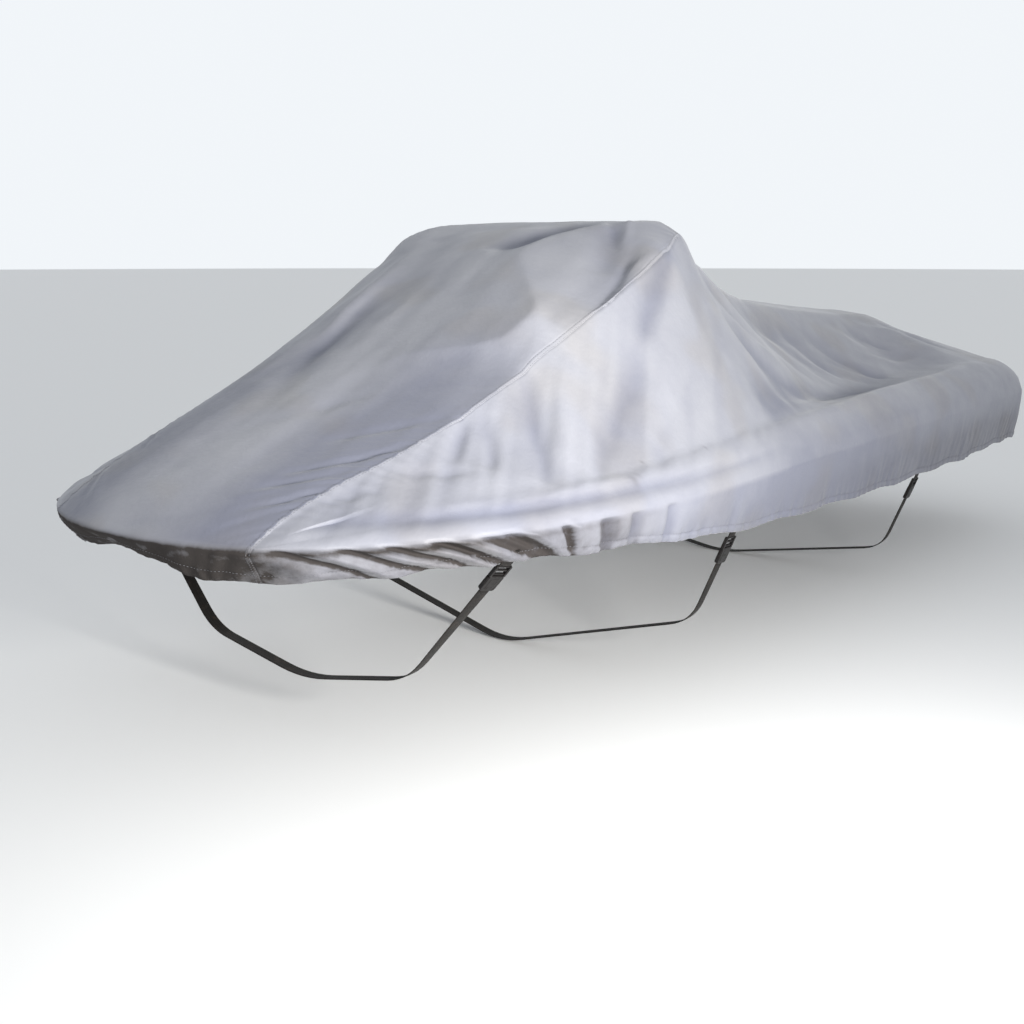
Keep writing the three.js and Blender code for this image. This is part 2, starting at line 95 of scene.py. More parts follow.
def hermite(x, y, at):
    """A monotone curve through heights y at places x; y may hold one row of heights for each place in at."""
    slope = np.diff(y, axis=-1) / np.diff(x)
    before = np.concatenate([slope[..., :1], slope], axis=-1)
    after = np.concatenate([slope, slope[..., -1:]], axis=-1)
    both = before * after
    tangent = np.where(both <= 0, 0, 2 * both / np.where(both <= 0, 1, before + after))
    at = np.clip(at, x[0], x[-1])
    i = np.clip(np.searchsorted(x, at, side="right") - 1, 0, len(x) - 2)
    span = x[i + 1] - x[i]
    t = (at - x[i]) / span
    pick = (lambda a, k: a[k]) if y.ndim == 1 else (lambda a, k: a[np.arange(len(k)), k])
    return (
        pick(y, i) * (1 + 2 * t) * (1 - t) ** 2
        + pick(tangent, i) * span * t * (1 - t) ** 2
        + pick(y, i + 1) * t * t * (3 - 2 * t)
        + pick(tangent, i + 1) * span * t * t * (t - 1)
    )


def section(key, aft):
    return hermite(SECTIONS[:, 0], SECTIONS[:, SECTION_KEYS.index(key)], np.asarray(aft, float))


def smooth(low, high, value):
    t = np.clip((value - low) / (high - low), 0, 1)
    return t * t * (3 - 2 * t)


def beside(aft, side, start, end):
    """For places in plan beside a line: the share of it that they have passed, and how far off they are."""
    (a0, s0), (a1, s1) = start, end
    way = np.clip(((aft - a0) * (a1 - a0) + (side - s0) * (s1 - s0)) / ((a1 - a0) ** 2 + (s1 - s0) ** 2), 0, 1)
    return way, aft - a0 - way * (a1 - a0), side - s0 - way * (s1 - s0)


def half_beam(aft):
    nose = np.maximum(1 - aft / 1003, 0)
    stern = np.maximum((aft - LENGTH + 150) / 150, 0)
    return HALF_BEAM * np.maximum(1 - nose**2.36, 0) ** (1 / 2.36) * np.maximum(1 - stern**3, 0) ** (1 / 3)


def gunwale(share):
    aft = LENGTH * (1 - np.cos(np.pi * share)) / 2
    return aft, half_beam(aft)


def outward(share, step):
    """The way out from the gunwale in plan, as its aft and side parts; step is how finely the rail is sampled."""
    a1, h1 = gunwale(np.clip(share + step, 0, 1))
    a0, h0 = gunwale(np.clip(share - step, 0, 1))
    length = np.maximum(np.hypot(a1 - a0, h1 - h0), 1e-9)
    return -(h1 - h0) / length, (a1 - a0) / length


def gunwale_share(aft):
    return np.arccos(1 - 2 * aft / LENGTH) / np.pi


SHARES = np.linspace(0, 1, 6001)
GUNWALE_RUN = np.concatenate([[0], np.cumsum(np.hypot(*[np.diff(c) for c in gunwale(SHARES)]))])


def seam_half(aft):
    return np.where(aft <= KNEE_AFT + 0.01, half_beam(KNEE_AFT), section("shoulder_half", aft))


FOLDS = [  # main folds, between two places (aft, side): how wide and how far they stand out or sink in
    ((1310, 330), (1020, 360), 75, 12), ((1300, -350), (1100, -350), 55, -10),
    ((960, -10), (1150, -165), 40, -11), ((1130, -215), (960, -290), 34, -9),
    ((1080, -275), (840, -325), 30, -6), ((1060, 215), (720, 250), 42, 8),
    ((960, 120), (480, 150), 46, -7), ((600, -60), (220, -120), 44, -5),
    ((1090, -380), (930, -412), 26, -8), ((940, -408), (610, -500), 38, -10),
    ((1130, -408), (800, -502), 40, 8), ((1180, -400), (880, -520), 36, -6),
    ((660, -330), (500, -470), 34, -9), ((740, -350), (590, -480), 34, 6),
    ((520, -322), (430, -400), 30, -6), ((1260, -330), (1480, -455), 50, -12),
    ((1400, -300), (1640, -430), 44, 7), ((2060, -250), (2340, -405), 38, -8),
    ((2400, -215), (2600, -345), 36, -8), ((1700, -230), (1960, -380), 42, -6),
    ((1090, 384), (700, 480), 40, -11), ((1150, 400), (860, 510), 40, 8),
    ((640, 340), (480, 470), 36, -8), ((1250, 340), (1500, 460), 48, -12),
    ((1950, 240), (2230, 400), 40, -8), ((2340, 220), (2560, 350), 38, -7),
]
CREASES = [  # finer creases along a path of places: width, lift, and how much steeper one flank is
    # on the hood
    ([(985, 30), (1005, -10), (1020, -56), (1086, -105), (1137, -161)], 26, -6, 0.1),
    ([(1145, -195), (1049, -272)], 12, -5, 0.2), ([(1160, -235), (1078, -278)], 9, 4, 0),
    ([(1090, -298), (968, -332), (853, -336)], 15, -6, 0.3),
    ([(823, -243), (742, -293), (695, -315), (640, -322)], 16, 3, 0),
    ([(940, 228), (754, 212), (620, 160)], 22, 6, 0.3), ([(885, 200), (650, 146), (400, 58)], 28, -6, 0),
    ([(176, 243), (120, 170), (82, 115), (100, 50), (149, 0)], 9, 2.5, 0.4),
    ([(65, 31), (88, -50), (115, -125)], 8, -2, 0), ([(117, -150), (160, -215), (210, -266)], 8, -3, 0.2),
    ([(77, -150), (149, -256)], 7, -2.5, 0), ([(182, -140), (260, -262)], 9, -3, 0.3),
    ([(225, -150), (300, -240), (378, -302)], 10, -3.5, 0.3), ([(150, -120), (190, -190)], 7, 2, 0),
    ([(330, -130), (470, -296)], 13, -3, 0.2), ([(300, 40), (520, -120)], 20, -2.5, 0),
    # port side, from the tip of the ridge to the rail
    ([(1150, -352), (1090, -366), (1030, -378), (962, -391), (910, -403)], 15, -10, 0.3),
    ([(1075, -352), (1000, -342), (930, -352)], 10, 4, 0), ([(1116, -360), (1080, -374)], 6, -4, 0),
    ([(915, -415), (766, -442), (629, -497)], 17, -6, 0.2), ([(925, -474), (823, -509)], 14, -4, 0),
    ([(734, -345), (665, -392), (563, -473)], 19, 5, 0),
    ([(664, -312), (621, -352), (588, -385), (554, -426), (505, -475)], 13, -5, 0.2),
    ([(489, -312), (452, -331), (395, -361)], 11, -5, 0.2),
    ([(1053, -431), (982, -466), (879, -496), (752, -540)], 20, -5, 0),
    ([(1113, -411), (997, -453), (797, -503)], 19, 6, 0),
    ([(535, -318), (500, -352), (464, -386), (420, -415)], 12, -4, 0.3),
    ([(164, -262), (205, -292), (256, -316)], 11, -1.6, 0.2), ([(200, -276), (262, -330)], 11, -1.2, 0),
    ([(286, -300), (360, -360), (420, -400)], 12, -3, 0), ([(870, -380), (800, -420), (700, -450)], 13, 3.5, 0),
    # port side, behind the ridge
    ([(1216, -379), (1322, -410), (1377, -470), (1426, -502)], 26, 6, -0.3),
    ([(1290, -318), (1363, -340), (1489, -376), (1700, -345)], 22, -6, 0.2),
    ([(1460, -290), (1600, -285), (1888, -250)], 20, -5, 0), ([(1330, -300), (1560, -330)], 14, 3, 0),
    ([(2438, -224), (2522, -255), (2592, -314)], 13, -5, 0.3),
    ([(2093, -262), (2220, -322), (2332, -397)], 16, -5, 0.3),
    ([(1870, -240), (1990, -300), (2080, -380)], 17, -3.5, 0),
    ([(2700, -200), (2790, -330), (2860, -430)], 22, -4, 0),
    ([(1232, -545), (1551, -540), (1950, -520), (2395, -518), (2781, -508)], 22, 7, 0),
    ([(1430, -330), (1560, -318), (1735, -292), (1960, -262), (2200, -262)], 18, -6, 0.3),
    ([(1290, -390), (1374, -415), (1470, -440), (1600, -470)], 16, -6, 0.3),
    ([(1330, -350), (1450, -385), (1600, -420)], 14, 5, 0), ([(1249, -587), (1354, -586)], 6, -3, 0),
    ([(1235, -500), (1330, -492), (1500, -470), (1760, -452), (2064, -440), (2300, -425)], 32, -14, 0.2),
    ([(100, -275), (237, -385), (392, -462), (510, -498), (695, -543), (945, -571)], 13, 4, 0),
    # starboard
    ([(1100, 372), (960, 400), (840, 430)], 15, -7, -0.3), ([(930, 428), (780, 470), (650, 515)], 17, 5, 0),
    ([(640, 335), (560, 400), (500, 470)], 13, -6, -0.3), ([(470, 330), (400, 400)], 12, -4, 0),
    ([(1240, 380), (1330, 430), (1400, 500)], 24, 6, 0.3), ([(1300, 320), (1460, 370), (1680, 350)], 22, -6, 0),
    ([(1560, 280), (1900, 250)], 20, -4, 0), ([(2010, 250), (2150, 330), (2260, 400)], 16, -5, 0),
    ([(2380, 220), (2480, 280), (2560, 350)], 14, -5, 0),
    ([(1240, 532), (1700, 520), (2400, 506), (2790, 500)], 15, 5, 0),
    ([(110, 280), (250, 392), (400, 465), (700, 543), (950, 572)], 13, 4, 0),
    ([(170, 262), (250, 320)], 8, -2.5, 0), ([(210, 180), (330, 300)], 10, -3, 0),
    ([(90, 160), (160, 258)], 8, -2.5, 0),
]
GATHERS = [  # folds that the elastic pulls into the skirt: aft at the gunwale, lean aft at the hem, width, lift
    (-1, 48, 84, 17, 5), (-1, 70, 110, 13, -5), (-1, 97, 116, 19, 6), (-1, 134, 124, 15, -7),
    (-1, 160, 128, 20, 7), (-1, 188, 132, 15, -6), (-1, 222, 134, 22, 7), (-1, 250, 130, 16, -7),
    (-1, 292, 122, 20, 5), (-1, 330, 118, 18, -4), (-1, 366, 112, 15, -7), (-1, 404, 96, 18, 4),
    (-1, 476, 44, 10, -6), (-1, 500, 30, 12, 4), (-1, 566, 26, 15, -4), (-1, 640, 22, 13, -3.5),
    (-1, 742, 18, 14, -3),
    (1, 84, 104, 14, -4), (1, 120, 118, 19, 6), (1, 156, 126, 15, -6),
    (1, 200, 128, 21, 7), (1, 246, 124, 16, -6), (1, 300, 110, 20, 5), (1, 350, 92, 16, -6),
    (1, 430, 60, 18, 4), (1, 520, 34, 12, -5), (1, 610, 24, 15, -4), (1, 700, 20, 13, -3),
]
CREASE_DEPTH, GATHER_DEPTH = 1.4, 2.1
STRAPS = [  # aft at the hem, half width of the hull's chine, depth of chine and keel below the gunwale
    ("fore", 385, 255, 296, 345), ("mid", 1000, 476, 300, 430), ("aft", 2040, 478, 350, 430),
]


def fold_lift(aft, side):
    """How far folds and creases move the cloth at places in plan."""
    lift = np.zeros_like(aft)
    for start, end, width, amount in FOLDS:
        way, off_aft, off_side = beside(aft, side, start, end)
        lift += amount * np.exp(-((np.hypot(off_aft, off_side) / width) ** 2)) * (1 - np.abs(2 * way - 1) ** 3)
    for path, width, amount, steep in CREASES:
        nearest = np.full_like(aft, 1e9)
        best_way, best_hand = np.zeros_like(aft), np.zeros_like(aft)
        for k, (start, end) in enumerate(zip(path, path[1:])):
            way, off_aft, off_side = beside(aft, side, start, end)
            away = np.hypot(off_aft, off_side)
            closer = away < nearest
            hand = ((end[0] - start[0]) * off_side - (end[1] - start[1]) * off_aft) / math.dist(start, end)
            nearest = np.where(closer, away, nearest)
            best_way = np.where(closer, (k + way) / (len(path) - 1), best_way)
            best_hand = np.where(closer, hand, best_hand)
        profile = np.exp(-((nearest / width) ** 2)) * (1 + steep * np.clip(best_hand / width, -1.5, 1.5))
        lift += CREASE_DEPTH * amount * profile * (1 - np.abs(2 * best_way - 1) ** 2.4)
    return lift


def cloth_noise(points, scale, seed):
    shift = Vector((seed * 7.3, seed * 3.1, seed * 5.7))
    return np.array([noise.noise(Vector(p) / scale + shift, noise_basis="PERLIN_NEW") for p in points])


def seam_pucker(aft, side, points):
    """Short wrinkles that the thread pulls in across each side seam, strongest near the knee."""
    run = (RIDGE_AFT - aft) / (RIDGE_AFT - KNEE_AFT)
    off = np.abs(side) - section("shoulder_half", np.clip(aft, KNEE_AFT, RIDGE_AFT))
    along = 1350 * run + 0.55 * off + 14 * cloth_noise(points, 70, 3)
    strength = (0.25 + 0.75 * smooth(0.6, 0.85, run) + 0.4 * smooth(0.12, 0.0, run)) * (aft < RIDGE_AFT + 20)
    reach = np.where(off < 0, 70, 48) * (0.7 + 0.6 * np.abs(cloth_noise(points, 90, 4)))
    return strength * np.exp(-np.abs(off) / reach) * (np.sin(along / 4.6) + 0.5 * np.sin(along / 3.1 + side / 40))


def skirt_depth(aft):
    return hermite(SKIRT[:, 0], SKIRT[:, 1], aft)


def plain_skirt(share, side, down):
    """The skirt before it is gathered: its places, the way out from them and its full depth."""
    aft, half = gunwale(share)
    inset = hermite(SKIRT[:, 0], SKIRT[:, 2], aft) * down**1.5
    out_aft, out_side = outward(share, 1e-4)
    out_aft, out_side = np.where(share <= 0, -1, out_aft), np.where(share <= 0, 0, out_side)
    out_aft, out_side = np.where(share >= 1, 1, out_aft), np.where(share >= 1, 0, out_side)
    sag = sum(drop * np.exp(-(np.hypot(aft - a, side * half - s) / reach) ** 2) for a, s, reach, drop in HEM_SAGS)
    full = skirt_depth(aft) + sag - 3 * np.sin(34 * np.pi * share)
    places = np.stack([aft - out_aft * inset, side * (half - out_side * inset), -full * down], axis=1)
    return places, out_aft, out_side, full


def skirt_places(share, side, down):
    """The skirt below the gunwale, down to the hem: gathered on its elastic, with the hem turned up."""
    aft, half = gunwale(share)
    places, out_aft, out_side, full = plain_skirt(share, side, down)
    run = np.interp(share, SHARES, GUNWALE_RUN)
    bulge = np.zeros_like(aft)
    for hand, at, lean, width, amount in GATHERS:
        off = (aft - at - lean * down) / width * math.copysign(1, -amount)
        off = np.where(off < 0, off * 1.5, off * 0.65)
        fade = smooth(0.0, 0.12, down) * (1 - 0.35 * smooth(0.75, 1.0, down))
        bulge += np.where(side == hand, GATHER_DEPTH * amount * np.exp(-(off**2)) * fade, 0)
    # Loose drapes under the nose, then the fine puckers that the elastic makes all round.
    drapes = cloth_noise(np.stack([run / 26 + 1.6 * down, 0.5 * down, side], axis=1), 1, 16)
    bulge += 6 * drapes * smooth(0, 0.3, down) * smooth(150, 60, aft)
    ground = np.stack([aft, side * half, -40 * down], axis=1)
    uneven = 0.75 + 0.9 * cloth_noise(ground, 150, 11)
    jitter = 2.2 * cloth_noise(ground, 55, 12)
    pulled = sum(np.exp(-(((aft - a) / 42) ** 2)) for _, a, *_ in STRAPS)
    stern = smooth(1500, 2100, aft)
    leant = run + 60 * stern * down
    fine = np.sin(leant / 5.6 + jitter) + 0.6 * np.sin(leant / 3.3 + 2.1 * jitter + side)
    reach_up = smooth(0.55 - 0.45 * stern, 1.0, down)
    bulge += (1.5 - 0.2 * stern) * uneven * reach_up * fine * (1 - 0.8 * np.clip(pulled, 0, 1))
    bulge += 1.6 * np.sin(run / 19 + 3 * jitter / 2.2) * uneven * smooth(0.1, 0.8, down) * smooth(420, 700, aft)
    # The turned hem stands out, with a groove along its stitches and a rolled lower edge.
    edge = full * (1 - down)
    bulge += 1.5 * smooth(15, 11, edge) - 1.1 * np.exp(-(((edge - 15) / 2.2) ** 2)) - 1.2 * smooth(3, 0, edge)
    places[:, 0] += out_aft * bulge
    places[:, 1] += side * out_side * bulge
    return places, bulge


def skirt_down(share, row, rows):
    """Rows of the skirt: even ones, and close ones over the turned hem."""
    full = skirt_depth(gunwale(share)[0])
    close = np.array([24, 19, 16.5, 14.5, 12, 8, 4, 1.2, 0.0])
    start = rows - len(close) + 1
    even = (1 - close[0] / full) * row / start
    return np.where(row <= start, even, 1 - np.interp(row, np.arange(start, rows + 1), close) / full)


def out_of_plan(places, lift, share):
    """Moves places of the top and flanks along a way that turns from up to outwards near the gunwale."""
    out_aft, out_side = outward(share, 1e-3)
    out = np.stack([out_aft, np.where(places[:, 1] < 0, -1, 1) * out_side], axis=1)
    low = smooth(70, 0, places[:, 2])
    places[:, :2] += (lift * low)[:, None] * out
    places[:, 2] += lift * (1 - low)
    return places


PORT_SLOPE_POWER = 1.15
PORT_CREST = np.array([  # aft, where the crest and the foot of its slope to port lie in the half width, its height
    (55, 0, 1.0, 0), (480, 0, 1.0, 0), (600, 0.25, 1.0, 2), (680, 0.78, 1.03, 8), (740, 0.82, 1.02, 15),
    (806, 0.68, 1.0, 20), (865, 0.5, 0.98, 24), (960, 0.28, 0.96, 27), (1060, 0.34, 0.95, 21),
    (1140, 0.7, 1.02, 8), (1200, 0.86, 1.06, 0), (1290, 0.8, 1.1, 0), (1500, 0.5, 1.1, 0), (3120, 0.5, 1.1, 0),
], float)


def top_height(aft, across):
    """The top between its shoulders: full to starboard, and a crest with a slope beyond it to port."""
    crown, shoulder = section("crown", aft), section("shoulder", aft)
    start, end, crest = (hermite(PORT_CREST[:, 0], PORT_CREST[:, k], aft) for k in (1, 2, 3))
    port = -across
    slope, whole = (np.clip((at - start) / (end - start), 0, 1) ** PORT_SLOPE_POWER for at in (port, 1))
    slope = slope / whole
    fall = np.where(port > 0, slope, np.abs(port) ** 5)
    return shoulder + (crown - shoulder) * (1 - fall) + crest * smooth(-0.6, start, port) * (1 - slope)


def dressed(places, lift, rough, share, hand, past, rows):
    """Gives the plain cloth its folds, and lays out its rows past the gunwale as the gathered skirt."""
    places = out_of_plan(places, (lift + rough) * smooth(0, 26, places[:, 2] + 8), share)
    places[:, 2] = np.maximum(places[:, 2], 0)
    skirt = past > 0.01
    down = skirt_down(share, np.maximum(past, 0), rows)
    places[skirt], bulge = skirt_places(share[skirt], hand[skirt], down[skirt])
    depth = lift + 1.2 * rough
    depth[skirt] = 1.8 * bulge
    return places, np.where(skirt, down, 0), depth


def soft_wrinkles(points):
    """The slack that is left all over: broad swells and a few faint pulled lines."""
    return 1.5 * cloth_noise(points, 120, 1) + 0.7 * cloth_noise(points * np.array([0.5, 1.3, 1]), 46, 2)


def streaks(across, along, width, length, seed):
    """Shallow folds that run one way: broad ones with finer ones between them, uneven along their length."""
    flow = np.stack([across / width, along / length, 0 * across], axis=1)
    fine = np.stack([across / width * 2.3, along / length * 1.7, 0 * across + 4], axis=1)
    return cloth_noise(flow, 1, seed) + 0.3 * cloth_noise(fine, 1, seed + 1)


def hood_streaks(aft, side):
    """Folds down the hood from the ridge to the nose, which drift a little to port on the way."""
    fade = smooth(60, 300, aft) * smooth(1200, 1050, aft) * smooth(1, 0.88, np.abs(side) / seam_half(aft))
    return 5 * fade * streaks(side + 0.12 * (1200 - aft), aft, 84, 420, 21)


def flank_streaks(aft, side, way):
    """Folds that hang from the tips of the ridge: to the rail ahead of it, along the seat behind it."""
    to_rail = half_beam(aft) - np.abs(side)
    ahead = aft - (0.9 + 0.8 * smooth(200, 1300, aft)) * to_rail
    behind = aft + 3 * to_rail
    fade = smooth(0, 0.12, way) * smooth(1.02, 0.82, way)
    front = smooth(1330, 1130, aft)
    upper = 1 - 0.75 * smooth(0.4, 0.6, way)
    before_ridge = 5.5 * front * streaks(ahead, to_rail, 46, 520, 23)
    return fade * (before_ridge + 6.0 * (1 - front) * upper * streaks(behind, aft, 130, 420, 27))


def cloth_mesh(columns, rows, place, keep=lambda u, v: True):
    """A grid of cloth: keep tells which cells stay, and place puts its points where they belong."""
    bm = bmesh.new()
    bmesh.ops.create_grid(bm, x_segments=columns, y_segments=rows, size=0.5)
    drop = [f for f in bm.faces if not keep(*(f.calc_center_median().xy + Vector((0.5, 0.5))))]
    bmesh.ops.delete(bm, geom=drop, context="FACES")
    bm.verts.ensure_lookup_table()
    flat = np.array([v.co.xy for v in bm.verts]) + 0.5
    places, run, down, lift = place(np.clip(flat[:, 0], 0, 1), np.clip(flat[:, 1], 0, 1))
    # Each point keeps its fold depth, so that shade can be painted into the troughs.
    painted_shade = bm.verts.layers.float.new("painted_shade")
    for vert, depth in zip(bm.verts, np.clip(-lift / DEEPEST, 0, 0.8)):
        vert[painted_shade] = depth
    uv = bm.loops.layers.uv.new("cloth")
    for face in bm.faces:
        for loop in face.loops:
            loop[uv].uv = (run[loop.vert.index] / 1000, down[loop.vert.index] / 1000)
    shift = np.array([-RIDGE_AFT, 0, CLOTH - RIDGE_HEIGHT])
    for vert, at in zip(bm.verts, (places + shift) / 1000):
        vert.co = at
    bmesh.ops.remove_doubles(bm, verts=bm.verts, dist=0.00012)
    bmesh.ops.dissolve_degenerate(bm, dist=0.00008, edges=bm.edges)
    bm.normal_update()
    return bm


HOOD_ROWS, HOOD_SKIRT_ROWS = 230, 20


def hood_places(u, v):
    """The hood at shares of its width and length: its places, its flat measures and how deep its folds are."""
    across = 2 * u - 1
    rows = HOOD_ROWS + HOOD_SKIRT_ROWS
    run = np.clip(v * rows / HOOD_ROWS, 0, 1)
    aft = RIDGE_AFT + (KNEE_AFT - RIDGE_AFT) * run
    half = seam_half(aft)
    share = np.abs(across) * gunwale_share(KNEE_AFT)
    nose_aft, nose_half = gunwale(share)
    side = across * half + (np.sign(across) * nose_half - across * half_beam(KNEE_AFT)) * run
    places = np.stack([aft + (nose_aft - KNEE_AFT) * run, side, top_height(aft, across)], axis=1)
    rough = soft_wrinkles(places) + seam_pucker(aft, across * half, places) + hood_streaks(aft, across * half)
    hand = np.where(across < 0, -1.0, 1.0)
    past = v * rows - HOOD_ROWS
    lift = fold_lift(aft, across * half)
    places, down, depth = dressed(places, lift, rough, share, hand, past, HOOD_SKIRT_ROWS)
    return places, 350 * across, 1250 * run + 60 * down, depth


hood = cloth_mesh(96, HOOD_ROWS + HOOD_SKIRT_ROWS, hood_places)

# The cloth rolls over the gunwale at the nose, where it is drawn tight round the bow.
low, high = (-40 - RIDGE_HEIGHT) / 1000, (70 - RIDGE_HEIGHT) / 1000
for reach in range(200, 40, -8):
    bow = [v for v in hood.verts if abs(v.co.y) < reach / 1000 and low < v.co.z < high and not v.is_boundary]
    bmesh.ops.smooth_vert(hood, verts=bow, factor=0.5, use_axis_x=True, use_axis_y=True, use_axis_z=True)


# ---------------------------------------------------------------- port and starboard panels
# The two side panels meet on the centreline behind the ridge and run down over the rail to the hem.
# They are cut from the hood's cloth; folds hang from the tips of the ridge and the elastic gathers the skirt.
SEAM_COLUMNS, BEHIND_COLUMNS = HOOD_ROWS, 365
TOP_ROWS, FLANK_ROWS, SKIRT_ROWS = 12, 40, 22
SIDE_COLUMNS = SEAM_COLUMNS + BEHIND_COLUMNS
SIDE_ROWS = TOP_ROWS + FLANK_ROWS + SKIRT_ROWS
RIDGE_SHARE = gunwale_share(RIDGE_AFT)
RAIL_WAY = 0.78  # where on a flank the cloth starts to turn over the rail


def flank_height(aft, way):
    """The height of a flank, from the shoulder over the hollow to the deck and round over the rail."""
    over = np.clip((way - RAIL_WAY) / (1 - RAIL_WAY), 0, 1)
    roundness = 1.25 + 0.55 * smooth(300, 2600, aft)
    deck = section("deck", aft)
    rail = deck * np.maximum(1 - over**roundness, 0) ** (1 / roundness)
    heights = np.stack([section(key, aft) for key in ("shoulder", "flank", "hollow", "deck")], axis=1)
    return np.where(way >= RAIL_WAY, rail, hermite(np.array([0, 0.33, 0.56, RAIL_WAY]), heights, way))


def side_places(side):
    """As hood_places, for the panel on one side: columns run aft and rows run from the top down to the hem."""
    ways = np.linspace(0, 1, 3001)
    behind_run = np.interp(RIDGE_SHARE + (1 - RIDGE_SHARE) * ways, SHARES, GUNWALE_RUN)
    behind_run = (behind_run - behind_run[0]) / (behind_run[-1] - behind_run[0])

    def place(u, v):
        column, row = u * SIDE_COLUMNS, v * SIDE_ROWS
        run = np.clip(1 - column / SEAM_COLUMNS, 0, 1)
        ahead = column < SEAM_COLUMNS - 0.01
        way_aft = np.interp(np.clip((column - SEAM_COLUMNS) / BEHIND_COLUMNS, 0, 1), behind_run, ways)
        seam_aft = RIDGE_AFT + (KNEE_AFT - RIDGE_AFT) * run
        seat_aft = RIDGE_AFT + (SEAT_END_AFT - RIDGE_AFT) * np.sin(way_aft * np.pi / 2) ** 1.15
        top_aft = np.where(ahead, seam_aft, seat_aft)
        rounding = np.clip((top_aft - SEAT_END_AFT + 300) / 300, 0, 1)
        half = np.where(ahead, seam_half(seam_aft), section("shoulder_half", top_aft) * np.sqrt(1 - rounding**2))
        share = np.where(ahead, gunwale_share(seam_aft), RIDGE_SHARE + (1 - RIDGE_SHARE) * way_aft)
        rail_aft, rail_half = gunwale(share)
        across = np.clip(row / TOP_ROWS, 0, 1)
        way = np.clip((row - TOP_ROWS) / FLANK_ROWS, 0, 1)
        aft = top_aft + (rail_aft - top_aft) * way
        off = np.where(way > 0, half + (rail_half - half) * way, across * half)
        height = np.where(way > 0, flank_height(aft, way), top_height(top_aft, side * across))
        places = np.stack([aft, side * off, height], axis=1)
        rough = soft_wrinkles(places) + seam_pucker(aft, side * off, places) + flank_streaks(aft, side * off, way)
        rail_groove = smooth(80, 160, aft) * smooth(1300, 1000, aft) * (way > 0.5)
        rough -= 9 * rail_groove * np.exp(-(((height - 31) / 10) ** 2))
        hand = np.full_like(share, float(side))
        lift, past = fold_lift(aft, side * off), row - TOP_ROWS - FLANK_ROWS
        places, down, depth = dressed(places, lift, rough, share, hand, past, SKIRT_ROWS)
        along = np.interp(share, SHARES, GUNWALE_RUN)
        below = off + 1.25 * np.where(way > 0, (rail_half - half) * way, 0) + 130 * down
        return places, along, below, depth

    return place


def side_cells(u, v):
    """A side panel has no top ahead of the ridge: that is the hood's."""
    return u > SEAM_COLUMNS / SIDE_COLUMNS or v > TOP_ROWS / SIDE_ROWS


panels = {"hood_panel": hood}
for name, side in (("port_panel", -1), ("starboard_panel", 1)):
    panels[name] = cloth_mesh(SIDE_COLUMNS, SIDE_ROWS, side_places(side), side_cells)

# Each panel's outer face looks out of the cover.
middle = Vector((0.2, 0, -0.75))
for bm in panels.values():
    facing = sum((f.calc_center_median() - middle).dot(f.normal) * f.calc_area() for f in bm.faces)
    if facing < 0:
        bmesh.ops.reverse_faces(bm, faces=bm.faces)
    bm.normal_update()

cloth_trees = {name: BVHTree.FromBMesh(bm) for name, bm in panels.items()}


# ---------------------------------------------------------------- cover cloth
# Silver-grey polyester with a thin coating: a fine plain weave, a soft satin sheen and a slightly handled tone.
# The inside has the paler coating; on the outside the skirt carries road dirt mixed with painted shade, most of it
# under the nose, and folds and shaded places carry painted shade on both faces.
class Look:
    """A node tree under construction: its methods add nodes, and inputs are values or other nodes' outputs."""

    def __init__(self, tree):
        self.nodes, self.links = tree.nodes, tree.links

    def join(self, socket, value):
        if isinstance(value, (int, float, tuple)):
            socket.default_value = (*value, 1) if isinstance(value, tuple) else value
        else:
            self.links.new(value, socket)

    def add(self, kind, inputs=None, **settings):
        node = self.nodes.new("ShaderNode" + kind)
        for key, value in settings.items():
            setattr(node, key, value)
        for label, value in (inputs or {}).items():
            self.join(node.inputs[label], value)
        return node

    def drive(self, label, value):
        self.join(self.nodes["Principled BSDF"].inputs[label], value)

    def math(self, operation, *values):
        return self.add("Math", dict(enumerate(values)), operation=operation).outputs[0]

    def noise(self, vector, scale, detail, rough):
        inputs = {"Vector": vector, "Scale": scale, "Detail": detail, "Roughness": rough}
        return self.add("TexNoise", inputs).outputs["Fac"]

    def ramp(self, value, low, high, kind="SMOOTHSTEP"):
        inputs = {"Value": value, "From Min": low, "From Max": high}
        return self.add("MapRange", inputs, interpolation_type=kind).outputs["Result"]

    def mix(self, factor, a, b, blend="MIX"):
        inputs = {"Factor": factor, "A": a, "B": b}
        return self.add("Mix", inputs, data_type="RGBA", blend_type=blend).outputs["Result"]

    def bump(self, height, strength, distance, **under):
        inputs = {"Height": height, "Strength": strength, "Distance": distance, **under}
        return self.add("Bump", inputs).outputs["Normal"]


def shader_group(name, outputs):
    """A node group that turns a flat measure of cloth into the named values."""
    group = bpy.data.node_groups.new(name, "ShaderNodeTree")
    group.interface.new_socket("Vector", in_out="INPUT", socket_type="NodeSocketVector")
    for label in outputs:
        group.interface.new_socket(label, in_out="OUTPUT", socket_type="NodeSocketFloat")
    measure = group.nodes.new("NodeGroupInput").outputs[0]
    return group, Look(group), measure, group.nodes.new("NodeGroupOutput").inputs


# Plain weave: warp over weft, from a pair of crossed waves, with yarns that are a little uneven.
YARNS_PER_METRE = 900
weave, look, measure, results = shader_group("plain_weave", ["Height", "Slub"])
split = look.add("SeparateXYZ", {0: measure}).outputs
waves = [look.math("SINE", look.math("MULTIPLY", split[axis], YARNS_PER_METRE * math.pi)) for axis in "XY"]
look.join(results["Height"], look.math("MULTIPLY_ADD", look.math("MULTIPLY", *waves), 0.5, 0.5))
look.join(results["Slub"], look.noise(measure, 260, 3.0, 0.6))


def new_material(name, color, roughness, **values):
    material = bpy.data.materials.new(name)
    material.use_nodes = True
    look = Look(material.node_tree)
    for label, value in {"Base Color": color, "Roughness": roughness, **values}.items():
        look.drive(label.replace("_", " "), value)
    return material, look
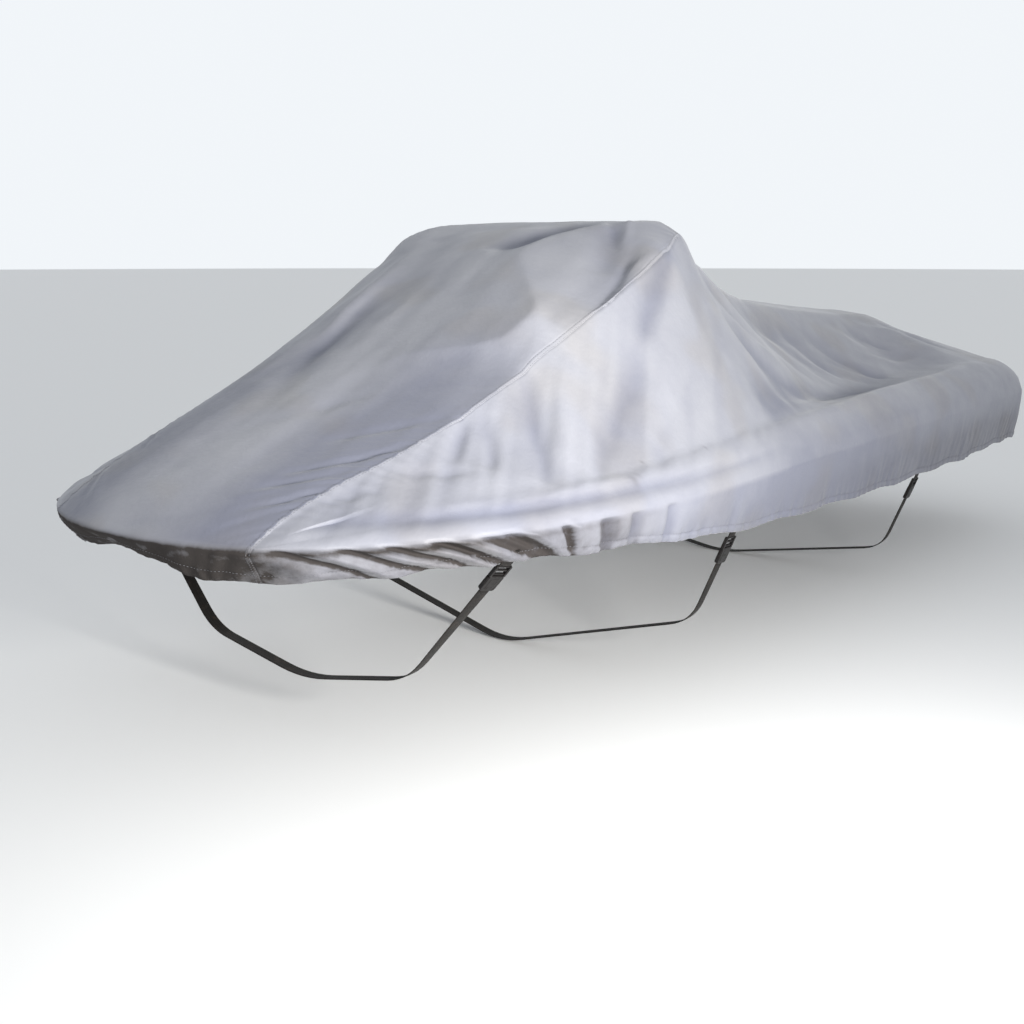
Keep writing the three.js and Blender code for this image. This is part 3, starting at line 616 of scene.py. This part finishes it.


# The darkest colour is road dirt, and it is also painted shade on the skirt and in its gathers.
YELLOWED, DIRT_AND_SHADE_COLOR = (1.0, 0.97, 0.91), (0.033, 0.028, 0.025)


def cover_cloth(name, pale, dark, sheen, dirt_and_shade):
    """Coated cloth between a pale and a dark tone, the dark one also standing for painted shade; the last argument
    is how much road dirt and painted shade it shows.
    """
    material, look = new_material(name, pale, 0.55, Sheen_Roughness=0.4)
    coords = look.add("TexCoord").outputs
    place = coords["Object"]
    cloth = look.add("Group", node_tree=weave)
    look.join(cloth.inputs["Vector"], coords["UV"])

    # Tone: broad handling marks and faint blotches, plus painted shade toward the dark tone in fold troughs and
    # other shaded places, and painted light where that shade is negative.
    broad = look.noise(place, 3.2, 3.0, 0.55)
    blotch = look.noise(place, 14, 4.0, 0.6)
    painted_fold_shade = look.math("MULTIPLY", look.add("Attribute", attribute_name="painted_shade").outputs["Fac"], 0.8)
    shade = look.math("MULTIPLY_ADD", broad, 0.75, look.math("MULTIPLY", blotch, 0.45))
    color = look.mix(look.ramp(look.math("ADD", shade, painted_fold_shade), 0.35, 1.3, "LINEAR"), pale, dark)

    # Faintly yellowed patches, then road dirt mixed with painted shade, kept matt: it takes the specular and sheen
    # away with the colour.
    tint = look.ramp(look.noise(place, 6.5, 1.0, 0.4), 0.5, 0.66)
    color = look.mix(look.math("MULTIPLY", tint, 0.8), color, YELLOWED, "MULTIPLY")
    dirt_and_shade_mask = look.add("Attribute", attribute_name="dirt_and_shade").outputs["Fac"]
    specks = look.math("MULTIPLY_ADD", look.noise(place, 38, 5.0, 0.7), 0.9, 0.5)
    amount = look.math("MULTIPLY", look.math("MULTIPLY", dirt_and_shade_mask, specks), dirt_and_shade)
    amount = look.math("MINIMUM", amount, 0.95)
    look.drive("Base Color", look.mix(amount, color, DIRT_AND_SHADE_COLOR))
    undarkened = look.math("SUBTRACT", 1, amount)
    look.drive("Specular IOR Level", look.math("MULTIPLY", undarkened, 0.42))
    look.drive("Sheen Weight", look.math("MULTIPLY", undarkened, sheen))
    look.drive("Roughness", look.math("MULTIPLY_ADD", dirt_and_shade_mask, 0.2, look.math("MULTIPLY_ADD", blotch, 0.22, 0.43)))

    # Relief: the weave itself, then slubs and the slight cockle of coated cloth.
    relief = look.bump(cloth.outputs["Height"], 0.35, 0.00018)
    relief = look.bump(cloth.outputs["Slub"], 0.3, 0.0005, Normal=relief)
    relief = look.bump(look.noise(place, 95, 3.0, 0.55), 0.4, 0.0016, Normal=relief)
    look.drive("Normal", relief)
    return material


# The dark tones serve both for the cloth's uneven tone and for painted shade.
outside = cover_cloth("cover_cloth", (0.298, 0.301, 0.335), (0.157, 0.164, 0.21), 0.2, 1.0)
inside = cover_cloth("cloth_backing", (0.36, 0.365, 0.38), (0.3, 0.305, 0.32), 0.1, 0.3)


# Painted shade in listed patches; where the amount is negative they are painted light instead.
PAINTED_SHADE_PATCHES = [  # patches that keep a darker tone: from and to in plan, half width, how dark
    ((1290, -515), (1980, -450), 36, 0.55),
    ((1290, 515), (1980, 450), 36, 0.4),
    ((1600, -330), (2250, -330), 120, 0.2),
    ((760, -330), (1000, -250), 70, -0.3),
    ((900, -30), (1150, -60), 120, -0.25),
]
SCUFFS = [  # small rubbed spots on the port skirt: aft, side, reach
    (682, -539, 7), (700, -536, 4), (742, -520, 4), (936, -545, 4),
]


def tone(mesh):
    """Marks painted shade in folds and shaded places, and where the outside shows road dirt mixed with painted
    shade.
    """
    at = np.array([v.co[:] for v in mesh.vertices])
    aft, side, height = at[:, 0] * 1000 + RIDGE_AFT, at[:, 1] * 1000, at[:, 2] * 1000 + RIDGE_HEIGHT - CLOTH
    if "painted_shade" not in mesh.attributes:
        mesh.attributes.new("painted_shade", "FLOAT", "POINT")
    painted_shade = np.empty(len(at), np.float32)
    mesh.attributes["painted_shade"].data.foreach_get("value", painted_shade)
    # Painted shade under the gunwale and down both sides of the hood, then in the groove, the foot and the aft
    # part of the rail.
    under = (0.15 + 0.65 * smooth(550, 1050, aft)) * (1 - 0.75 * smooth(1150, 1900, aft))
    painted_shade += smooth(4, -14, height) * under
    on_hood = (np.abs(side) < seam_half(np.clip(aft, KNEE_AFT, RIDGE_AFT))) * (aft < RIDGE_AFT)
    painted_shade += 1.15 * on_hood * smooth(40, 200, np.abs(side)) * smooth(850, 200, aft) * smooth(-8, 10, height)
    painted_shade += 0.5 * np.exp(-(((height - 33) / 13) ** 2)) * smooth(110, 260, aft) * smooth(1000, 500, aft)
    painted_shade += 0.3 * np.exp(-(((height - 5) / 13) ** 2)) * smooth(110, 260, aft) * smooth(1100, 700, aft)
    painted_shade += 0.5 * smooth(1080, 1350, aft) * smooth(85, 20, height) * (1 - 0.6 * smooth(1900, 2400, aft))
    for start, end, width, amount in PAINTED_SHADE_PATCHES:
        off = np.hypot(*beside(aft, side, start, end)[1:])
        painted_shade += amount * np.exp(-((off / width) ** 2)) * smooth(-10, 30, height)
    # Dirt mixed with painted shade: under the nose it is part road dirt and part painted shade; there is painted
    # shade in the troughs of the gathers, towards the hem, and as a dark line at the turn under the gunwale; the
    # scuffs are rubbed wear.
    nose = smooth(KNEE_AFT + 80, KNEE_AFT - 20, aft) * smooth(8, -32, height)
    folded = cloth_noise(np.stack([(side + 1.6 * height) / 22, (aft - height) / 70, 0 * aft], axis=1), 1, 15)
    tucks = np.clip(painted_shade * 3, 0, 1) * smooth(5, -15, height) * smooth(800, 450, aft)
    hem = smooth(-10, -90, height) * (0.12 + 0.15 * smooth(1300, 2200, aft))
    turn = 0.7 * np.exp(-(((height + 7) / 5) ** 2)) * smooth(420, 200, aft)
    scuffs = sum(0.3 * np.exp(-(np.hypot(aft - a, side - s) / r) ** 2) for a, s, r in SCUFFS)
    dirt_and_shade = np.clip((0.66 + 0.4 * folded) * nose + 1.05 * tucks + hem + turn + scuffs, 0, 1.6)
    mesh.attributes.new("dirt_and_shade", "FLOAT", "POINT")
    for label, values in (("painted_shade", painted_shade), ("dirt_and_shade", dirt_and_shade)):
        mesh.attributes[label].data.foreach_set("value", values.astype(np.float32))


def placed(name, data):
    thing = bpy.data.objects.new(name, data)
    scene.collection.objects.link(thing)
    return thing


def sewn_panel(name, bm):
    """The finished panel: its cloth thickness, and its own two materials."""
    mesh = bpy.data.meshes.new(name + "_cloth")
    bm.to_mesh(mesh)
    tone(mesh)
    mesh.shade_smooth()
    piece = placed(name + "_cloth", mesh)
    piece.data.materials.append(outside)
    piece.data.materials.append(inside)
    wall = piece.modifiers.new("cloth thickness", "SOLIDIFY")
    wall.thickness, wall.offset, wall.material_offset = 0.0014, -1, 1
    wall.use_even_offset = False
    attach(piece, "root")
    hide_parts(name)
    return piece


sewn = {name: sewn_panel(name, bm) for name, bm in panels.items()}


# ---------------------------------------------------------------- seams and their thread
# Felled seams: one panel's edge is folded over the other's and sewn down flat with two rows of grey thread.
# They run down both sides of the hood to the hem, across the ridge, and along the centreline to the stern.
THREAD = new_material("grey_thread", (0.12, 0.12, 0.135), 0.7, Sheen_Weight=0.1)[0]
SEAM_WIDTH, SEAM_STEP = 0.0095, 0.006


def on_cloth(at):
    """The nearest place on the cloth's outer face, and the way out from it."""
    hits = [tree.find_nearest(at) for tree in cloth_trees.values()]
    place, normal, _, _ = min((hit for hit in hits if hit[0] is not None), key=lambda hit: hit[3])
    return place, normal


def even_path(points, step, least=2, carried=()):
    """The points of a path at even steps, and any rows of directions carried along it; then its length."""
    points = [Vector(p) for p in points]
    run = np.concatenate([[0], np.cumsum([(b - a).length for a, b in zip(points, points[1:])])])
    wanted = np.linspace(0, run[-1], max(least, round(run[-1] / step)) + 1)
    rows = [np.stack([np.interp(wanted, run, [q[k] for q in row]) for k in range(3)], axis=1)
            for row in (points, *carried)]
    return *([Vector(p) for p in row] for row in rows), float(run[-1])


def across_path(path):
    """For each place on a path: the cloth there, the way across the path and the way along it."""
    found = []
    for k, at in enumerate(path):
        along = (path[min(k + 1, len(path) - 1)] - path[max(k - 1, 0)]).normalized()
        place, normal = on_cloth(at)
        found.append((place, normal.cross(along).normalized(), along))
    return found


def stitches(bm, path, offset, lift):
    """A row of stitches beside a path, sunk a little into the cloth."""
    pitch, long, thick = 0.0062, 0.0042, 0.0008
    for place, across, along in across_path(even_path(path, pitch)[0]):
        at, up = on_cloth(place + across * offset)
        side_way = up.cross(along).normalized()
        ahead = side_way.cross(up).normalized()
        turn = Matrix((ahead * long / 2, side_way * thick / 2, up * thick / 2)).transposed().to_4x4()
        turn.translation = at + up * lift
        bmesh.ops.create_icosphere(bm, subdivisions=1, radius=1, matrix=turn)


def as_piece(bm, name, material):
    """Makes a mesh a piece of its own, which rides on the root."""
    mesh = bpy.data.meshes.new(name)
    bm.to_mesh(mesh)
    bm.free()
    mesh.shade_smooth()
    piece = placed(name, mesh)
    piece.data.materials.append(material)
    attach(piece, "root")
    return piece


def flat_band(columns, rows, length, width):
    """A flat grid that is one unit long and wide, with the real length and width in its UV map."""
    bm = bmesh.new()
    bmesh.ops.create_grid(bm, x_segments=columns, y_segments=rows, size=0.5)
    uv = bm.loops.layers.uv.new("band")
    for face in bm.faces:
        for loop in face.loops:
            loop[uv].uv = ((loop.vert.co.x + 0.5) * length, loop.vert.co.y * width)
    return bm


def felled_seam(name, points):
    """The raised band of a felled seam that follows the cloth, with both of its rows of stitches."""
    frames = across_path(even_path(points, SEAM_STEP)[0])
    last = len(frames) - 1
    bm = flat_band(last, 6, last * SEAM_STEP, SEAM_WIDTH)
    for vert in bm.verts:
        place, across, _ = frames[round((vert.co.x + 0.5) * last)]
        share = vert.co.y * 2
        at, up = on_cloth(place + across * share * SEAM_WIDTH / 2)
        vert.co = at + up * (0.0001 + 0.0003 * (1 - share**4))
    bm.normal_update()
    if sum(f.normal.dot(on_cloth(f.calc_center_median())[1]) for f in bm.faces) < 0:
        bmesh.ops.reverse_faces(bm, faces=bm.faces)
    band = as_piece(bm, name + "_seam", outside)
    tone(band.data)
    bm = bmesh.new()
    for offset in (-0.003, 0.003):  # two rows of stitches, each 3 mm from the seam's middle
        stitches(bm, points, offset, 0.0004)
    return band, as_piece(bm, name + "_seam_thread", THREAD)


def metres(points):
    return [((a - RIDGE_AFT) / 1000, s / 1000, (h + CLOTH - RIDGE_HEIGHT) / 1000) for a, s, h in points]


sewing = {name: [] for name in panels}
knee = gunwale_share(KNEE_AFT)
for side, word, panel in ((-1.0, "port", "port_panel"), (1.0, "starboard", "starboard_panel")):
    aft = np.linspace(RIDGE_AFT, KNEE_AFT, 120)
    half = seam_half(aft)
    height = section("shoulder", aft) + fold_lift(aft, side * half)
    down = np.linspace(0.04, 1, 12)
    below = skirt_places(np.full_like(down, knee), np.full_like(down, side), down)[0]
    points = metres(np.concatenate([np.stack([aft, side * half, height], axis=1), below]))
    sewing[panel] += felled_seam(word + "_side", points)
half = float(section("shoulder_half", RIDGE_AFT))
across = np.linspace(-1, 1, 80)
aft = np.full(80, float(RIDGE_AFT))
ridge = np.stack([aft, across * half, top_height(aft, across)], axis=1)
sewing["hood_panel"] += felled_seam("ridge", metres(ridge))
aft = np.concatenate([np.linspace(RIDGE_AFT, SEAT_END_AFT, 150), np.linspace(SEAT_END_AFT, LENGTH, 30)[1:]])
centre = np.stack([aft, 0 * aft, section("crown", np.minimum(aft, SEAT_END_AFT))], axis=1)
stern = aft > SEAT_END_AFT
centre[stern, 2] = flank_height(aft[stern], (aft[stern] - SEAT_END_AFT) / (LENGTH - SEAT_END_AFT))
down = np.linspace(0.05, 1, 10)
below = skirt_places(np.full(10, 1.0), np.full(10, -1.0), down)[0]
sewing["port_panel"] += felled_seam("centre", metres(np.concatenate([centre, below])))


# ---------------------------------------------------------------- hem thread
# The hem is turned up over its elastic and sewn down with one row of stitches, all round the cover.
# The row lies along the upper edge of the turn, so it rises and falls with the gathers.
HEM_TURNED = 15.5
for name, side, first, last in (
    ("hood_panel", 0.0, -knee, knee), ("port_panel", -1.0, knee, 1.0), ("starboard_panel", 1.0, knee, 1.0)
):
    share = np.linspace(first, last, 900)
    hand = np.where(share < 0, -1.0, 1.0) if side == 0 else np.full(900, side)
    full = skirt_depth(gunwale(np.abs(share))[0])
    row = metres(skirt_places(np.abs(share), hand, 1 - HEM_TURNED / full)[0])
    bm = bmesh.new()
    stitches(bm, row, 0.0, 0.0003)
    sewing[name].append(as_piece(bm, name.replace("_panel", "") + "_hem_thread", THREAD))

for name, bm in panels.items():
    area = sum(f.calc_area() for f in bm.faces)


# ---------------------------------------------------------------- hold-down straps
# Black polypropylene webbing, 25 mm wide: a short tail sewn inside the port hem, then a buckle, and one run of
# webbing that is pulled tight round the hull from the buckle to the other hem.
WEBBING_WIDTH, WEBBING_THICK, SEWN, BELOW = 0.025, 0.0016, 0.026, 0.012
BUCKLE_LONG, BUCKLE_WIDE, GAP = 0.062, 0.035, 0.0003

webbing_weave, look, measure, results = shader_group("webbing_weave", ["Height"])
split = look.add("SeparateXYZ", {0: measure}).outputs
# Ribs run along the strap and each is a chevron of weft across it.
slant = look.math("PINGPONG", look.math("ADD", split["Y"], 0.05), 0.0031)
chevron = look.math("SINE", look.math("MULTIPLY", look.math("ADD", split["X"], slant), 2900))
ribs = look.math("MULTIPLY", look.math("SINE", look.math("MULTIPLY", split["Y"], 2030)), 0.3)
look.join(results["Height"], look.math("MULTIPLY_ADD", chevron, 0.35, ribs))

BLACK_WEBBING, DUSTY_WEBBING = (0.006, 0.005, 0.0045), (0.024, 0.017, 0.013)
webbing_look, look = new_material(
    "strap_webbing", BLACK_WEBBING, 0.75, Sheen_Weight=0.05, Specular_IOR_Level=0.12
)
coords = look.add("TexCoord").outputs
twill = look.add("Group", node_tree=webbing_weave)
look.join(twill.inputs[0], coords["UV"])
look.drive("Normal", look.bump(twill.outputs[0], 0.6, 0.0005))
rub = look.ramp(look.noise(coords["Object"], 60, 4.0, 0.7), 0.5, 0.75)
look.drive("Base Color", look.mix(rub, BLACK_WEBBING, DUSTY_WEBBING))

plastic_look, look = new_material("buckle_plastic", (0.008, 0.007, 0.007), 0.45, Specular_IOR_Level=0.25)
place = look.add("TexCoord").outputs["Object"]
look.drive("Normal", look.bump(look.noise(place, 900, 2.0, 0.5), 0.25, 0.0002))
scuff = look.ramp(look.noise(place, 130, 3.0, 0.6), 0.45, 0.8)
look.drive("Roughness", look.math("MULTIPLY_ADD", scuff, 0.3, 0.36))


BOW_FLATS, STERN_FLATS = 22, 30  # straight lengths of the skirt, as a strap pulls the hem flat under it


def hem_facet(aft, side):
    """Where a strap leaves the hem: the middle of the flat of the skirt there, as the webbing lies against it."""
    ahead = gunwale_share(RIDGE_AFT + (KNEE_AFT - RIDGE_AFT) * (1 - np.arange(BOW_FLATS + 1) / BOW_FLATS))
    behind = RIDGE_SHARE + (1 - RIDGE_SHARE) * (np.arange(STERN_FLATS) + 1) / STERN_FLATS
    shares = np.concatenate([ahead, behind])
    after = int(np.argmax(gunwale(shares)[0] > aft))
    pair = shares[[after - 1, after]]
    (above0, above1), (hem0, hem1) = (
        [Vector(p) for p in metres(plain_skirt(pair, side, down)[0])] for down in (0.55, 1.0)
    )
    along_hem = (hem1 - hem0).normalized()
    down_way = ((hem0 + hem1) / 2 - (above0 + above1) / 2).normalized()
    inwards = along_hem.cross(down_way).normalized() * -side
    edge = (hem0 + hem1) / 2 + inwards * (CLOTH / 1000 + 0.0005 + WEBBING_THICK / 2)
    return along_hem, edge, edge - down_way * SEWN


def rounded(points, radii, steps):
    """A route through points, with each inner corner rounded off."""
    route = [points[0]]
    for k, radius in enumerate(radii):
        corner = points[k + 1]
        start = corner + (points[k] - corner).normalized() * radius
        end = corner + (points[k + 2] - corner).normalized() * radius
        route += [start * (1 - t) ** 2 + corner * 2 * t * (1 - t) + end * t * t for t in np.linspace(0, 1, steps)]
    return route + [points[-1]]


def webbing_piece(name, places, widths, node):
    """A flat strap along places, with the direction of its width at each."""
    line, wide, length = even_path(places, 0.008, 8, [widths])
    count = len(line) - 1
    bm = flat_band(count, 8, length, WEBBING_WIDTH)
    for vert in bm.verts:
        k = round((vert.co.x + 0.5) * count)
        along = (line[min(k + 1, count)] - line[max(k - 1, 0)]).normalized()
        across = (wide[k] - along * wide[k].dot(along)).normalized()
        up = along.cross(across)
        cup = 0.0004 * (1 - (2 * vert.co.y) ** 2)
        vert.co = line[k] + across * vert.co.y * WEBBING_WIDTH + up * cup
    piece = as_piece(bm, name, webbing_look)
    wall = piece.modifiers.new("webbing thickness", "SOLIDIFY")
    wall.thickness, wall.offset = WEBBING_THICK, 0
    edge = piece.modifiers.new("woven edge", "BEVEL")
    edge.width, edge.segments, edge.limit_method = 0.0005, 2, "ANGLE"
    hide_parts(node)


def block(bm, low, high, corner, edge):
    """A moulded block with rounded corners in plan and softened edges."""
    made = bmesh.ops.create_cube(bm, size=1)["verts"]
    size, centre = Vector(high) - Vector(low), (Vector(high) + Vector(low)) / 2
    bmesh.ops.scale(bm, vec=size, verts=made)
    bmesh.ops.translate(bm, vec=centre, verts=made)
    edges = {e for v in made for e in v.link_edges}
    upright = [e for e in edges if abs((e.verts[0].co - e.verts[1].co).normalized().z) > 0.9]
    if corner:
        rounded_off = bmesh.ops.bevel(
            bm, geom=upright, offset=corner, segments=5, profile=0.5, affect="EDGES", material=-1
        )
        made = list({v for f in rounded_off["faces"] for v in f.verts} | {v for v in made if v.is_valid})
    faces = {f for v in made if v.is_valid for f in v.link_faces}
    rims = {e for f in faces for e in f.edges if abs((e.verts[0].co - e.verts[1].co).normalized().z) < 0.5}
    flat = [e for e in rims if len(e.link_faces) == 2 and abs(e.calc_face_angle(0)) > 0.8]
    bmesh.ops.bevel(bm, geom=flat, offset=edge, segments=2, profile=0.5, affect="EDGES", material=-1)


for name, aft, chine_half, chine_drop, keel_drop in STRAPS:
    port_way, port_edge, port_sewn = hem_facet(aft, -1)
    star_way, star_edge, star_sewn = hem_facet(aft, 1)
    middle_x = (port_edge.x + star_edge.x) / 2
    level = (CLOTH - RIDGE_HEIGHT) / 1000
    turns = ((-chine_half, chine_drop), (0, keel_drop), (chine_half, chine_drop))
    hull = [Vector((middle_x, half / 1000, level - drop / 1000)) for half, drop in turns]
    along = (hull[0] - port_edge).normalized()
    across = (port_way - along * port_way.dot(along)).normalized()

    tail = rounded([port_sewn, port_edge, port_edge + along * BELOW], [BELOW / 2], 5)
    webbing_piece(name + "_tail", tail, [port_way] * len(tail), name + "_strap_tail")

    start = port_edge + along * (BELOW + GAP + BUCKLE_LONG + GAP)
    route = rounded([start, *hull, star_edge, star_sewn], [0.045, 0.06, 0.045, BELOW / 2], 7)
    widths = []
    for at in route:
        end, way = (port_edge, port_way) if at.y < 0 else (star_edge, star_way)
        twist = float(smooth(chine_half / 1000, abs(end.y), abs(at.y)))
        widths.append(Vector((1, 0, 0)).lerp(way, twist))
    webbing_piece(name + "_webbing", route, widths, name + "_strap_webbing")

    # Side release buckle: a socket with its two grips, and a plug whose ladder holds the webbing.
    bm = bmesh.new()
    half = BUCKLE_WIDE / 2
    block(bm, (0.024, -half + 0.0015, -0.0042), (0.0615, half - 0.0015, 0.0042), 0.006, 0.0012)
    block(bm, (0.030, -0.009, -0.0046), (0.0555, 0.009, 0.0046), 0.003, 0.0008)
    grip = (0.029, 0.045, 0.0045, 0.0001, 0.003, 0.0012, 0.0006)
    ribs = [(0.032 + at, 0.0336 + at, 0.001, -0.0005, 0.0026, 0, 0.0004) for at in (0, 0.0042, 0.0084)]
    side_bar = (0.0004, 0.0265, 0.0052, 0.0006, 0.0034, 0.0016, 0.0008)
    for hand in (-1, 1):
        for low_x, high_x, inner, outer, thick, corner, edge in (grip, *ribs, side_bar):
            low, high = sorted((hand * (half - inner), hand * (half - outer)))
            block(bm, (low_x, low, -thick), (high_x, high, thick), corner, edge)
    for x in (0.0005, 0.0095, 0.0195):
        block(bm, (x, -half + 0.003, -0.0026), (x + 0.0036, half - 0.003, 0.0018), 0, 0.0008)
    turn = Matrix((along, across, along.cross(across))).transposed().to_4x4()
    turn.translation = port_edge + along * (BELOW + GAP)
    bmesh.ops.transform(bm, matrix=turn, verts=bm.verts)
    bmesh.ops.recalc_face_normals(bm, faces=bm.faces)
    buckle = as_piece(bm, name + "_buckle", plastic_look)
    smoothing = buckle.modifiers.new("crisp edges", "WEIGHTED_NORMAL")
    smoothing.keep_sharp = True
    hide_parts(name + "_strap_buckle")


# ---------------------------------------------------------------- floor, light and camera
# A plain pale studio floor under the lowest strap, one low soft light from the port bow and an even pale
# surrounding, and a camera low down off the port bow.
floor_height = cad_box[0][2] - 0.002
bm = bmesh.new()
bmesh.ops.create_circle(bm, cap_ends=True, segments=96, radius=60)
bmesh.ops.translate(bm, verts=bm.verts, vec=(0, 0, floor_height))
mesh = bpy.data.meshes.new("studio_floor")
bm.to_mesh(mesh)
bm.free()
floor = placed("studio_floor", mesh)
floor.data.materials.append(new_material("studio_floor", (0.86, 0.86, 0.86), 0.9)[0])

world = bpy.data.worlds.new("studio")
scene.world = world
world.use_nodes = True
look = Look(world.node_tree)
upwards = look.add("SeparateXYZ", {0: look.add("TexCoord").outputs["Generated"]}).outputs["Z"]
walls_to_ceiling = {"Value": upwards, "From Min": 0.3, "From Max": 0.9, "To Min": 0.95, "To Max": 0.54}
background = look.nodes["Background"].inputs
look.join(background["Strength"], look.add("MapRange", walls_to_ceiling).outputs["Result"])
look.join(background["Color"], (0.93, 0.965, 1.0))
scene.view_settings.view_transform = "Standard"


def soft_light(name, target, toward, distance, size, power, color):
    data = bpy.data.lights.new(name, "AREA")
    data.size, data.energy, data.color, data.spread = size, power, color, 2.2
    lamp = placed(name, data)
    lamp.location = Vector(target) + Vector(toward).normalized() * distance
    lamp.rotation_euler = Vector(toward).to_track_quat("Z", "Y").to_euler()


soft_light("key", (-0.75, -0.35, -0.25), (-0.3, -0.95, 0.03), 1.9, 0.5, 45, (1.0, 0.985, 0.945))

camera_data = bpy.data.cameras.new("camera")
camera_data.lens, camera_data.sensor_width = 44.4, 36
camera_data.shift_y = -0.161
camera_data.clip_end = 200
camera = placed("camera", camera_data)
camera.location = (-2.412, -1.676, -0.063)
camera.rotation_euler = Vector((0.8009, 0.5940, -0.0763)).to_track_quat("-Z", "Y").to_euler()
scene.camera = camera
